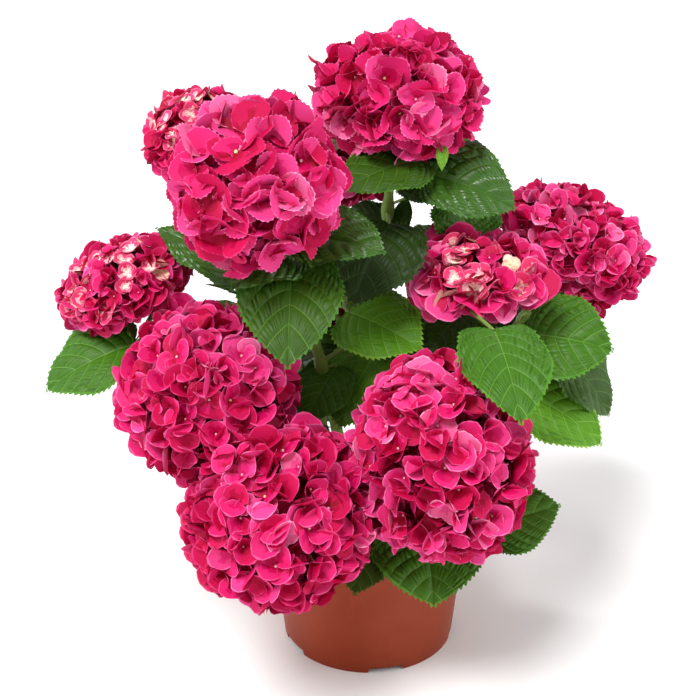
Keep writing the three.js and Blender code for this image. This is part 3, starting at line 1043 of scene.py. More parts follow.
        # Painted shade: the layer inside takes the darkest tints.
        dealt = self.random.choice(len(painted_light_shift), count, p=self.inner_shade_odds if inner else painted_light_shift)
        youth = self.plan.youth
        if youth > 0 and not inner:
            chance = self.random.uniform(0, 1, count)
            top = np.clip((directions @ self.young - self.young_from) / self.young_span, 0, 1)
            dealt = np.where(chance < youth * top, tints.index(PetalTint.YOUNG), dealt)
            dealt = np.where(chance < youth * self.cream_share * top, tints.index(PetalTint.CREAM), dealt)
        return dealt

    def _sepals(self, directions: Array, depth: float, inner: bool) -> tuple[SepalBatch, Array, Array, Array]:
        """Lay out one layer of florets.

        Args:
            directions: Where the florets stand, in the head's own frame.
            depth: How far out they stand, as a share of the dome.
            inner: True for the layer inside.

        Returns:
            The sepals, and each floret's middle, normal and width.
        """
        rng, plan = self.random, self.plan
        count = len(directions)
        surface, normals = self._surface(directions)
        scale = rng.uniform(*(self.inner_sizes if inner else self.outer_sizes), count)
        tints = self._tints(directions, inner)
        if plan.youth > 0:
            side, less, start = self.youth_sizes
            scale *= side - less * plan.youth * np.clip(directions @ self.young + start, 0, 1)
            scale *= np.where(tints > FIRST_YOUNG, self.cream_size, 1.0)
        width = plan.floret * scale
        out = depth * (1 - self.uneven * ((np.arange(count) * self.golden) % 1.0))
        middle = self.centre + (surface * out[:, None]) @ self.turn.T
        lean = self.inner_lean if inner else self.outer_lean
        tilt = np.clip(rng.normal(0, lean, (count, 3)), -self.most_lean, self.most_lean)
        facing = unit(normals @ self.turn.T + plan.unrest * tilt)
        middle -= facing * (self.sink * width)[:, None]
        floret_frames = frames_about(facing, rng.uniform(0, 2 * math.pi, count))

        numbers = np.where(rng.uniform(0, 1, count) < self.five_share, 5, 4)
        index = np.repeat(np.arange(count), numbers)
        order = np.concatenate([np.arange(n) for n in numbers])
        total = len(index)
        bearing = 2 * math.pi * order / numbers[index] + rng.normal(0, self.bearing_spread, total)
        cos, sin, zero = np.cos(bearing), np.sin(bearing), np.zeros(total)
        rows = ([cos, -sin, zero], [sin, cos, zero], [zero, zero, zero + 1])
        turns = np.stack([np.stack(row, axis=-1) for row in rows], axis=1)
        frames = np.einsum("nij,njk->nik", floret_frames[index], turns)
        length = width[index] / 2 * rng.uniform(*self.lengths, total)
        opening = rng.normal(*self.floret_opening, count)[index]
        lift, pressed = self._lifts(middle, out, index, frames, length)
        spread, limit = self.sepal_opening
        lift += opening + np.clip(rng.normal(0, spread, total), -limit, limit)
        lift *= plan.unrest
        lift = np.where(tints[index] >= FIRST_YOUNG, self.young_rise * lift, lift)
        tint = tints[index]
        plain = (tint > 0) & (tint < FIRST_YOUNG)
        shift = rng.choice([-1, 0, 0, 0, 1], total)
        tint = np.where(plain, np.clip(tint + shift, 1, FIRST_YOUNG - 1), tint)
        batch = SepalBatch(
            places=middle[index], frames=frames, length=length,
            width=length * rng.uniform(*self.breadths, total), lift=lift,
            curl=rng.normal(*self.curl, total) + self.pressed_curl * pressed,
            cup=rng.normal(*self.cup, total), fold=rng.normal(*self.fold, total),
            phase=rng.uniform(0, 2 * math.pi, total), raised=self.stacked * (order % 2), tint=tint,
        )
        return batch, middle, facing, width

    def _lifts(
        self, middle: Array, out: Array, index: Array, frames: Array, length: Array,
    ) -> tuple[Array, Array]:
        """Work out how far each sepal rises from its floret, by the floret that it meets.

        A sepal lies over a lower neighbour, slides under a higher one, and stands up against one at its own
        level.

        Args:
            middle: The florets' middles.
            out: How far out each floret stands, as a share of the dome.
            index: The floret of each sepal.
            frames: Each sepal's frame.
            length: Each sepal's length.

        Returns:
            The rise of each sepal in radians, and 1 for each that stands against its neighbour, else 0.
        """
        way = frames[:, :, 1]
        tips = middle[index] + way * length[:, None]
        gap = np.linalg.norm(tips[:, None] - middle[None], axis=-1)
        gap[np.arange(len(index)), index] = np.inf
        other = gap.argmin(axis=1)
        apart = middle[other] - middle[index]
        distance = np.linalg.norm(apart, axis=-1)
        cosine = np.clip((apart * way).sum(axis=-1) / distance, 0.2, 1.0)
        level = (out[index] - out[other]) * max(self.plan.half)
        stand = np.arccos(np.clip(0.5 * distance / (cosine * length), *self.standing))
        pressed = np.abs(level) < self.same_level
        lift = np.where(pressed, stand, np.where(level > 0, self.lying_over, self.lying_under))
        return lift, pressed.astype(float)

    def build(self, petals: MeshPile, buds: MeshPile, stalks: MeshPile) -> int:
        """Add the head's sepals, beads and stalks to their piles.

        Args:
            petals: The pile of sepals.
            buds: The pile of beads.
            stalks: The pile of stalks.

        Returns:
            The number of florets.
        """
        count = self._count()
        directions = self._directions(count)
        outer, middle, facing, width = self._sepals(directions, 1.0, inner=False)
        outer.add_to(petals, *self.plan.grid, self.plan.teeth)
        inner_count = int(count * self.inner_share)
        directions = self._directions(inner_count)
        inner, inner_middle, _, _ = self._sepals(directions, self.inner_depth, inner=True)
        inner.add_to(petals, *self.inner_grid, 0.0)
        self._add_buds(buds, middle, facing, width)
        self._add_stalks(stalks, np.concatenate([middle, inner_middle]))
        return count + inner_count

    def _add_buds(self, pile: MeshPile, middle: Array, facing: Array, width: Array) -> None:
        """Add the small round bead in the middle of each floret.

        Args:
            pile: Where the beads go.
            middle: The florets' middles.
            facing: The ways they face.
            width: Their widths.
        """
        rows, columns = self.bead_grid
        polar = np.linspace(*self.bead_span, rows)[:, None]
        angle = circle(columns)
        ball = np.stack([
            np.sin(polar) * np.cos(angle), np.sin(polar) * np.sin(angle), np.cos(polar) * np.ones(columns),
        ], axis=-1)
        radius = self.bud_radius * width
        places = (middle + facing * (self.bead_rise * radius)[:, None])[:, None, None]
        corners = places + ball[None] * radius[:, None, None, None]
        always, young = self.cream_beads
        cream = self.random.uniform(0, 1, len(middle)) < always + young * self.plan.youth
        pink, pale = 2, 3
        pile.add_grids(corners * MM, np.where(cream, pale, pink)[:, None, None], closed=True)

    def _add_stalks(self, pile: MeshPile, middle: Array) -> None:
        """Add the stalks that branch from the end of the limb to every floret.

        Args:
            pile: Where the stalks go.
            middle: The florets' middles.
        """
        down = self.turn @ np.array([0, 0, -1.0])
        fork = self.centre + down * self.plan.under * self.fork_depth
        outward = middle - fork
        early, late = self.stalk_bend
        rise = -down * self.stalk_sag * self.plan.under
        knots = (
            np.broadcast_to(fork, middle.shape), fork + outward * early + rise, fork + outward * late, middle,
        )
        share = np.array([self.stalk_shares])
        paths = bezier([k[:, None] for k in knots], np.broadcast_to(share, (len(middle), share.size)))
        tints = self.random.choice([0, 1], len(middle), p=self.stalk_odds)
        tubes(pile, paths * MM, np.array([self.stalk_radii]) * MM, 3, tints)


@dataclass(frozen=True)
class Blossom:
    """All the flower heads: a piece of sepals for each, and one piece each of beads and stalks."""

    first_seed: int = 4100

    def build(self) -> list[bpy.types.Object]:
        """Build and dress every flower head.

        Returns:
            Its pieces, in the order of the heads, then the beads and the stalks.
        """
        sepal_materials = PetalFinish().materials()
        small_materials = StalkFinish().materials()
        buds, stalks = MeshPile(), MeshPile()
        made = []
        for number, (name, plan) in enumerate(HEADS.items()):
            petals = MeshPile()
            count = FlowerHead(plan, self.first_seed + number).build(petals, buds, stalks)
            piece = petals.build(f"petals_{name}", sepal_materials)
            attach(piece, "root")
            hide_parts(f"flower_head_{name}")
            log.info("petals_%s: %d florets, %d faces", name, count, len(piece.data.polygons))
            made.append(piece)
        for name, pile in (("flower_buds", buds), ("flower_stalks", stalks)):
            piece = pile.build(name, small_materials)
            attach(piece, "root")
            log.info("%s: %d faces", name, len(piece.data.polygons))
            made.append(piece)
        return made


# ---------------------------------------------------------------------------------------------------------
# Leaves
# ---------------------------------------------------------------------------------------------------------


@dataclass(frozen=True)
class LeafShape:
    """The flat form of a leaf and the relief of its veins."""

    veins: int = 9  # side veins on each half
    columns: tuple[float, ...] = (0.0, 0.024, 0.26, 0.5, 0.74, 0.976)
    rows: int = 44
    rungs: float = 10.5  # cross ripples from the midrib to the margin
    painted_hollow_shade: float = -0.14  # the height, as a share of a ripple's, under which the blade is darker as painted shade in the puckers' hollows
    basal: float = 0.18  # the share of the margin fed by veins from the blade's foot
    broadest: float = 0.50  # exponent that sets how full the foot is
    taper: float = 0.86  # exponent that sets how slender the tip is
    full_to: float = 0.95  # where the full form ends, before the drawn-out tip
    rounding: float = 0.12  # how much rounder it is at the middle of its margin
    lobe: tuple[float, float] = (0.05, 0.22)  # how far its foot's lobes reach back, and over what share
    spacing: tuple[float, float] = (1.5, 0.74)  # exponents of the veins' spacing, on midrib and margin
    bow: tuple[float, float, float] = (0.65, 0.12, 0.6)  # how the side veins bow, more so to the tip
    skew: float = 0.45  # how far a ripple shifts between one vein and the next
    drift: tuple[int, float] = (9, 0.5)  # of the ripples' places: knots and spread
    strength: tuple[float, int, float] = (0.8, 7, 0.35)  # of the ripples: mean, knots and spread
    swell: float = 1.25  # how high the blade stands between its veins, in millimetres
    ripple: float = 2.1  # and between the ripples
    grain: float = 0.13  # its fine roughness
    groove: tuple[float, float] = (0.5, 1.6)  # depth and half width of the groove over the midrib
    teeth: int = 24  # teeth on each half of the margin
    tooth: float = 2.7  # length of a tooth

    def half(
        self, length: float, width: float, relief: float, rng: np.random.Generator,
    ) -> tuple[Array, Array]:
        """Lay out one half of the blade, with the midrib along +Y and the half towards +X.

        Args:
            length: The blade's length.
            width: Its width over both halves.
            relief: How strongly it puckers between its veins, 1 being usual.
            rng: The source of its small differences.

        Returns:
            Corners of shape (rows, columns, 3) in millimetres, and the zone of each face.
        """
        steps = np.array([k + c for k in range(self.veins) for c in self.columns] + [self.veins])
        p = (steps / self.veins)[None, :]
        rows = np.concatenate([[0.0, 0.014], np.linspace(0.05, 0.975, self.rows - 3), [1.0]])[:, None]
        inner, outer = self.spacing
        foot = np.clip((p - self.basal) / (1 - self.basal), 0, 1) ** inner
        edge = p ** outer
        peak = self.broadest / (self.broadest + self.taper)
        full = (peak ** self.broadest) * ((1 - peak) ** self.taper)
        body = np.clip(edge / self.full_to, 0, 1)
        form = body ** self.broadest * (1 - body) ** self.taper / full
        edge_x = width / 2 * (form + self.rounding * edge * (1 - edge))
        back, span = self.lobe
        edge_y = length * (edge - back * np.sin(math.pi * np.clip(edge / span, 0, 1)))
        mid_y = length * foot
        bow, start, more = self.bow
        control_x, control_y = bow * edge_x, mid_y + (start + more * foot) * (edge_y - mid_y)
        x = 2 * rows * (1 - rows) * control_x + rows ** 2 * edge_x
        y = (1 - rows) ** 2 * mid_y + 2 * rows * (1 - rows) * control_y + rows ** 2 * edge_y
        between = steps[None, :] % 1.0
        swell = np.sin(math.pi * between) ** 0.7
        reach = np.sin(math.pi * np.clip(rows * 0.9 + 0.08, 0, 1)) ** 0.6
        size = np.clip(x / (width / 2), 0, 1)
        shift = self._drift(rng, rows, steps, *self.drift)
        mean, *change = self.strength
        strength = mean + self._drift(rng, rows, steps, *change)
        pucker = np.abs(np.sin(math.pi * (self.rungs * rows + self.skew * between + shift))) ** 0.8 - 0.6
        raised = self.swell * swell * reach * np.sqrt(size + 0.05)
        z = relief * (raised + self.ripple * strength * pucker * swell * np.sqrt(size))
        z += relief * rng.normal(0, self.grain, z.shape) * size
        deep, half_width = self.groove
        z -= relief * deep * np.exp(-((x / half_width) ** 2))
        on_vein = (np.roll(between, -1, axis=1) == 0)[:, :-1] | (between == 0)[:, :-1]
        plain, vein, margin, dark = range(len(LeafFinish.zones))
        zone = np.where(np.broadcast_to(on_vein, (len(rows) - 1, p.shape[1] - 1)), vein, plain)
        zone = np.where(rows[:-1] < 0.01, vein, zone)
        zone = np.where((rows[1:] > 0.985) & (zone == plain), margin, zone)
        # Painted shade: faces low in the puckers take the darker hollow colour.
        low = pucker * (size > 0.08) + rng.normal(0, 0.12, pucker.shape)
        painted_hollow_shade = low[:-1, :-1] + low[1:, :-1] + low[:-1, 1:] + low[1:, 1:] < 4 * self.painted_hollow_shade
        zone = np.where(painted_hollow_shade & (zone == plain), dark, zone)
        return np.stack([x, y, z], axis=-1), zone

    def _drift(
        self, rng: np.random.Generator, rows: Array, steps: Array, knots: int, spread: float,
    ) -> Array:
        """Make a slowly changing random field over half a blade, which jumps at each side vein.

        Args:
            rng: The source of the randomness.
            rows: Shares from the midrib to the margin, in a column.
            steps: The side vein, and share of the way to the next one, of each column.
            knots: How many independent values lie between the midrib and the margin.
            spread: The standard deviation.

        Returns:
            One value for each row and column.
        """
        values = rng.normal(0, spread, (knots, 2 * self.veins + 2))
        place = np.clip(rows[:, 0] * (knots - 1), 0, knots - 1.001)
        low = place.astype(int)
        along = values[low] + (values[low + 1] - values[low]) * (place - low)[:, None]
        vein = np.minimum(np.floor(steps), self.veins - 1).astype(int)
        share = (steps - vein)[None, :]
        return along[:, 2 * vein] * (1 - share) + along[:, 2 * vein + 1] * share


@dataclass
class LeafBlade:
    """One leaf, bent and placed."""

    shape: LeafShape
    plan: LeafPlan
    rng: np.random.Generator
    edge_waves: float = 1.6  # waves along its margin
    edge_wave: float = 0.05  # their height, as a share of the width
    tip_droop: float = 0.10  # how far the margin droops at the tip, as a share of the width
    teeth_span: tuple[float, float] = (0.06, 0.985)  # where its teeth start and end
    usual_width: float = 85  # of a leaf with teeth of the usual size

    def __post_init__(self) -> None:
        """Work out how the leaf lies."""
        self.foot = np.array(self.plan.foot, float)
        chord = np.array(self.plan.tip, float) - self.foot
        self.along = unit(chord)
        half_bend = math.radians(max(self.plan.bend, 1.0)) / 2
        self.length = float(np.linalg.norm(chord)) * half_bend / math.sin(half_bend)
        side = unit(np.cross(self.along, [0, 0, 1.0]))
        normal = np.cross(side, self.along)
        roll = math.radians(self.plan.roll) * (1 if side[1] >= 0 else -1)
        self.side = side * math.cos(roll) + normal * math.sin(roll)
        self.normal = np.cross(self.side, self.along)
        self.wave = self.rng.uniform(0, 2 * math.pi, 2)

    def _place(self, flat: Array, mirror: int) -> Array:
        """Fold, wave and bend flat corners, and put them in the world.

        Args:
            flat: Corners with the midrib along +Y, in millimetres.
            mirror: 1 or -1, the half's side.

        Returns:
            Corners in metres.
        """
        plan = self.plan
        x, y, z = flat[..., 0], flat[..., 1], flat[..., 2]
        width = plan.width / 2
        out = np.clip(x / width, 0, 1.1)
        share = y / self.length
        swing = np.sin(2 * math.pi * self.edge_waves * share + self.wave[(mirror + 1) // 2])
        edge = swing * self.edge_wave * plan.width * out ** 2
        droop = self.tip_droop * plan.width * out ** 3 * share
        height = z + plan.fold * x * (1.25 - 0.30 * out) + edge - droop
        bend = math.radians(max(plan.bend, 1.0))
        angle = bend * (share - 0.5)
        radius = self.length / bend
        forward = radius * (np.sin(angle) + math.sin(bend / 2)) + height * np.sin(angle)
        up = radius * (np.cos(angle) - math.cos(bend / 2)) + height * np.cos(angle)
        spine = self.foot + forward[..., None] * self.along + up[..., None] * self.normal
        return (spine + (mirror * x)[..., None] * self.side) * MM

    def build(self, pile: MeshPile) -> None:
        """Add both halves of the blade and their teeth."""
        tint = len(LeafFinish.zones) * list(LeafTint).index(self.plan.tint)
        for mirror in (1, -1):
            flat, zone = self.shape.half(self.length, self.plan.width, self.plan.relief, self.rng)
            corners = self._place(flat, mirror)[None]
            if mirror < 0:
                corners, zone = corners[:, :, ::-1], zone[:, ::-1]
            pile.add_grids(corners, zone[None] + tint)
            self._add_teeth(pile, flat[-1], mirror, tint)

    def _add_teeth(self, pile: MeshPile, margin: Array, mirror: int, tint: int) -> None:
        """Add pointed teeth along one half's margin.

        Args:
            pile: Where they go.
            margin: The flat margin from foot to tip.
            mirror: 1 or -1, the half's side.
            tint: The number of the leaf's first material.
        """
        step = np.concatenate([[0.0], np.cumsum(np.linalg.norm(np.diff(margin[:, :2], axis=0), axis=1))])
        stops = np.linspace(*self.teeth_span, self.shape.teeth + 1) * step[-1]
        edge = np.stack([np.interp(stops, step, margin[:, axis]) for axis in range(3)], axis=-1)
        first, last = edge[:-1], edge[1:]
        run = unit(last[:, :2] - first[:, :2])
        outward = np.stack([run[:, 1], -run[:, 0]], axis=-1)
        scale = self.shape.tooth * (self.plan.width / self.usual_width)
        size = scale * self.rng.uniform(0.75, 1.2, len(first))[:, None]
        flat = first[:, :2] * 0.3 + last[:, :2] * 0.7 + (outward * 0.85 + run * 0.25) * size
        apex = np.concatenate([flat, last[:, 2:]], axis=1)
        inset = np.concatenate([outward * 0.25, np.zeros((len(first), 1))], axis=1)
        corners = self._place(np.stack([first - inset, last - inset, apex], axis=1), mirror)
        faces = np.arange(3 * len(first)).reshape(-1, 3)
        margin_slot = LeafFinish.zones.index("margin")
        pile.add(corners, faces if mirror < 0 else faces[:, ::-1], tint + margin_slot)


@dataclass
class Foliage:
    """Every leaf, on its stalk: those placed one by one and those that grow by rule."""

    seed: int = 77
    stalk_radius: float = 1.9
    spread: float = 38.0  # degrees between neighbouring leaves of a spray
    shortest: float = 84.0  # from the limb to the tip of a leaf that grows by rule
    broad: LeafShape = LeafShape()
    small: LeafShape = LeafShape(veins=7, rows=20, rungs=5.0, teeth=18)
    divide: float = 14.0  # sideways place that parts the left leaves from the right ones
    small_below: float = 50.0  # width under which a leaf takes the small form
    grown: LeafShape = LeafShape(veins=7, columns=(0.0, 0.04, 0.35, 0.65, 0.96), rows=14, rungs=4.0, teeth=22)
    yaw_spread: float = 6  # degrees that a leaf of a spray strays to the side
    rises: tuple[float, float] = (-0.12, 0.22)  # how far it rises, as a share of the spray's length
    blades: tuple[float, float] = (88, 106)
    slender: float = 0.86  # the most width that a blade has, as a share of its length
    stalk_rings: int = 9
    stalk_taper: tuple[float, float] = (1.25, 0.75)
    thin_below: float = 60.0  # width of a leaf under which its stalk is thinner too

    def __post_init__(self) -> None:
        """Seed the rule."""
        self.random = np.random.default_rng(self.seed)

    def _spray(self, spray: SprayPlan) -> list[LeafPlan]:
        """Grow the leaves of one spray: a middle one, with pairs that spread to its sides.

        Args:
            spray: The spray's plan.

        Returns:
            A plan for each leaf.
        """
        rng = self.random
        root = CURVES[spray.limb].point(spray.at)
        reach = np.array(spray.tip, float) - root
        length = float(np.linalg.norm(reach))
        grown = []
        for step in spray.steps:
            yaw = math.radians(step * self.spread + rng.normal(0, self.yaw_spread))
            turn = np.array(Matrix.Rotation(yaw, 3, "Z"))
            rise = rng.uniform(*self.rises) - spray.droop
            way = unit(turn @ reach + np.array([0, 0, rise * length * abs(step)]))
            size = max(length * (0.98 - 0.16 * abs(step)), self.shortest)
            size *= rng.uniform(0.92, 1.0 if step == 0 else 1.05)
            blade = min(size * 0.8, rng.uniform(*self.blades))
            tip = root + way * size
            foot = root + way * (size - blade)
            # Painted light and shade: spray leaves take shaded, middle and lit copies at random.
            tint = rng.choice([SHADE, MID, MID, BRIGHT])
            width = min(spray.width, blade * self.slender) * rng.uniform(0.9, 1.02)
            grown.append(LeafPlan(
                spray.limb, spray.at, tuple(foot), tuple(tip), width, tint,
                roll=rng.normal(0, 12), bend=rng.uniform(30, 60), fold=rng.uniform(0.1, 0.22),
            ))
        return grown

    def _stalk(self, pile: MeshPile, plan: LeafPlan) -> None:
        """Add a leaf's stalk, from its limb to the foot of its blade.

        Args:
            pile: Where it goes.
            plan: The leaf's plan.
        """
        root = CURVES[plan.limb].point(plan.at)
        foot, tip = np.array(plan.foot, float), np.array(plan.tip, float)
        gap = np.linalg.norm(foot - root)
        along = unit(tip - foot)
        rise = np.array([0, 0, 0.5 * gap * plan.arch])
        arrive = unit(foot - root) * (1 - plan.arch) + (along - np.array([0, 0, 0.3])) * plan.arch
        leave = unit(foot - root + rise)
        knots = (root, root + leave * 0.4 * gap, foot - arrive * 0.3 * gap, foot + along * 2)
        path = bezier(knots, np.linspace(0, 1, self.stalk_rings))[None]
        taper = np.linspace(*self.stalk_taper, self.stalk_rings)[None]
        radii = taper * self.stalk_radius * min(1.0, plan.width / self.thin_below)
        tubes(pile, path * MM, radii * MM, 8)

    def build(self) -> list[bpy.types.Object]:
        """Build and dress the leaves and their stalks.

        Returns:
            The left, right and back leaves, and the stalks.
        """
        grown = [leaf for spray in SPRAYS for leaf in self._spray(spray)]
        materials = LeafFinish().materials()
        masses = sorted(name for name in frame["nodes"] if name.startswith("leaves_"))
        left, right = MeshPile(), MeshPile()
        for plan in LEAVES:
            shape = self.small if plan.width < self.small_below else self.broad
            LeafBlade(shape, plan, self.random).build(left if plan.foot[0] < self.divide else right)
        back = MeshPile()
        for plan in grown:
            LeafBlade(self.grown, plan, self.random).build(back)
        stalks = MeshPile()
        for plan in (*LEAVES, *grown):
            self._stalk(stalks, plan)
        made = [
            left.build("leaves_of_left", materials),
            right.build("leaves_of_right", materials),
            back.build("leaves_of_back", materials),
            stalks.build("leaf_stalks", StalkFinish().materials()[:1]),
        ]
        for piece in made:
            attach(piece, "root")
            log.info("%s: %d faces", piece.name, len(piece.data.polygons))
        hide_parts(*masses)
        return made


# ---------------------------------------------------------------------------------------------------------
# Canes
# ---------------------------------------------------------------------------------------------------------


@dataclass(frozen=True)
class Canes:
    """The canes and side shoots, with swollen leaf joints, ribs and pores."""

    seed: int = 12
    sides: int = 16
    step: float = 2.6  # between rings
    joint_swell: float = 0.34  # how much a leaf joint swells the limb, as a share of its radius
    joint_length: float = 5.0
    rib: float = 0.045  # depth of the ribs, as a share of the radius
    ribs: int = 4
    rough: float = 0.02  # roughness of the bark, as a share of the radius
    low_joint: float = 0.2  # the share of its length where every limb has a joint
    flare: tuple[float, float] = (0.3, 8)  # how much a cane's foot flares, and over what height
    into_head: float = 0.55  # where a limb ends, as a share of its flower head's depth

    def build(self) -> bpy.types.Object:
        """Build and dress all the limbs as one piece.

        Returns:
            The piece.
        """
        pile = MeshPile()
        rng = np.random.default_rng(self.seed)
        for name, plan in LIMBS.items():
            self._limb(pile, name, plan, rng)
        piece = pile.build("canes_and_shoots", [BarkFinish().material()])
        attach(piece, "root")
        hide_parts(*LIMBS)
        log.info("canes_and_shoots: %d faces", len(piece.data.polygons))
        return piece

    def _limb(self, pile: MeshPile, name: str, plan: LimbPlan, rng: np.random.Generator) -> None:
        """Add one limb, from its foot to the fork under its flower head.

        Args:
            pile: Where it goes.
            name: Its name.
            plan: Its plan.
            rng: The source of its small differences.
        """
        curve = CURVES[name]
        end = 1 - self.into_head * HEADS[plan.head].under / curve.length
        steps = max(int(curve.length / self.step), 12)
        share = np.linspace(0, end, steps)
        joints = sorted({leaf.at for leaf in (*LEAVES, *SPRAYS) if leaf.limb == name} | {self.low_joint})
        radius = np.interp(share, [0, 1], plan.radii)
        along = share * curve.length
        for joint in joints:
            away = (along - joint * curve.length) / self.joint_length
            radius = radius * (1 + self.joint_swell * np.exp(-(away ** 2)))
        if not plan.parent:
            wider, height = self.flare
            radius = radius * (1 + wider * np.exp(-along / height))
        angle = circle(self.sides)
        ribs = self.rib * np.cos(self.ribs * angle + rng.uniform(0, 6))
        ribs = ribs + self.rough * rng.normal(0, 1, (steps, self.sides))
        path = curve.point(share)
        way = unit(np.gradient(path, axis=0))
        side = unit(np.cross([0.0, 1.0, 0.0], way))
        other = np.cross(way, side)
        ring = side[:, None] * np.cos(angle)[:, None] + other[:, None] * np.sin(angle)[:, None]
        corners = path[:, None] + ring * (radius[:, None] * (1 + ribs))[..., None]
        pile.add_grids(corners[None] * MM, closed=True)


# ---------------------------------------------------------------------------------------------------------
# Pot and compost
# ---------------------------------------------------------------------------------------------------------


@dataclass
class Pot:
    """The moulded plastic pot: a tapered wall, a band under the rim and drainage notches in the foot."""

    height: float = 160
    rim_radius: float = 100
    foot_radius: float = 82.5
    wall: float = 2.4
    floor: float = 3
    band_height: float = 15
    band_step: float = 3
    round_edge: float = 0.9
    sides: int = 200
    notches: int = 5
    notch_width: float = 36
    notch_height: float = 5
    notch_depth: float = 9
    notch_bearing: float = -79
    notch_taper: float = 0.88  # how much narrower a notch is at its top

    def wall_radius(self, height: float) -> float:
        """Give the outside radius of the wall at a height."""
        share = height / (self.height - self.band_height)
        return self.foot_radius + (self.rim_radius - self.band_step - self.foot_radius) * share

    def _shell(self) -> bpy.types.Object:
        """Make the turned body of the pot.

        Returns:
            The body, closed at both ends.
        """
        band = self.height - self.band_height
        profile = [
            (0, 0), (self.foot_radius, 0), (self.wall_radius(8), 8), (self.wall_radius(band), band),
            (self.rim_radius - 1, band + 1), (self.rim_radius, self.height),
            (self.rim_radius - self.wall, self.height), (self.wall_radius(band) - self.wall, band - 4),
            (self.foot_radius - self.wall, self.floor), (0, self.floor),
        ]
        angle = circle(self.sides)
        rings = np.array([[(r * math.cos(a), r * math.sin(a), z) for a in angle] for r, z in profile[1:-1]])
        pile = MeshPile()
        pile.add_grids(rings[None, ::-1] * MM, closed=True)
        shell = pile.build("pot_body", [PotFinish().material()])
        self._cap(shell)
        return shell

    def _cap(self, shell: bpy.types.Object) -> None:
        """Close the two open ends of the turned body with flat faces.

        Args:
            shell: The body.
        """
        mesh = shell.data
        work = bmesh.new()
        work.from_mesh(mesh)
        bmesh.ops.holes_fill(work, edges=[e for e in work.edges if e.is_boundary], sides=0)
        bmesh.ops.recalc_face_normals(work, faces=work.faces)
        work.to_mesh(mesh)
        work.free()

    def _cutter(self) -> bpy.types.Object:
        """Make the blocks that cut the notches.

        Returns:
            One object with all the blocks.
        """
        x, y, z = self.notch_depth, self.notch_width / 2, self.notch_height
        ends = (-1, 1)
        block = np.array([
            [out * x, side * y * (1.0 if up < 0 else self.notch_taper), up * z]
            for out in ends for side in ends for up in ends
        ], float)
        faces = np.array([[0, 1, 3, 2], [4, 6, 7, 5], [0, 4, 5, 1], [2, 3, 7, 6], [0, 2, 6, 4], [1, 5, 7, 3]])
        pile = MeshPile()
        for number in range(self.notches):
            bearing = math.radians(self.notch_bearing + 360 / self.notches * number)
            turn = np.array(Matrix.Rotation(bearing, 3, "Z"))
            pile.add((block + [self.foot_radius, 0, 0]) @ turn.T * MM, faces)
        return pile.build("notch_blocks", [], smooth=False)

    def build(self) -> bpy.types.Object:
        """Build, cut, round and dress the pot.

        Returns:
            The piece.
        """
        shell, cutter = self._shell(), self._cutter()
        cut = shell.modifiers.new("notches", "BOOLEAN")
        cut.operation, cut.object, cut.solver = "DIFFERENCE", cutter, "EXACT"
        soften = shell.modifiers.new("edges", "BEVEL")
        soften.width, soften.segments = self.round_edge * MM, 3
        soften.limit_method, soften.angle_limit = "ANGLE", math.radians(28)
        graph = bpy.context.evaluated_depsgraph_get()
        finished = bpy.data.meshes.new_from_object(shell.evaluated_get(graph))
        shell.modifiers.clear()
        shell.data = finished
        bpy.data.objects.remove(cutter)
        for polygon in finished.polygons:
            polygon.use_smooth = True
        finished.set_sharp_from_angle(angle=math.radians(40))
        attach(shell, "root")
        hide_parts("pot")
        log.info("pot_body: %d faces", len(finished.polygons))
        return shell


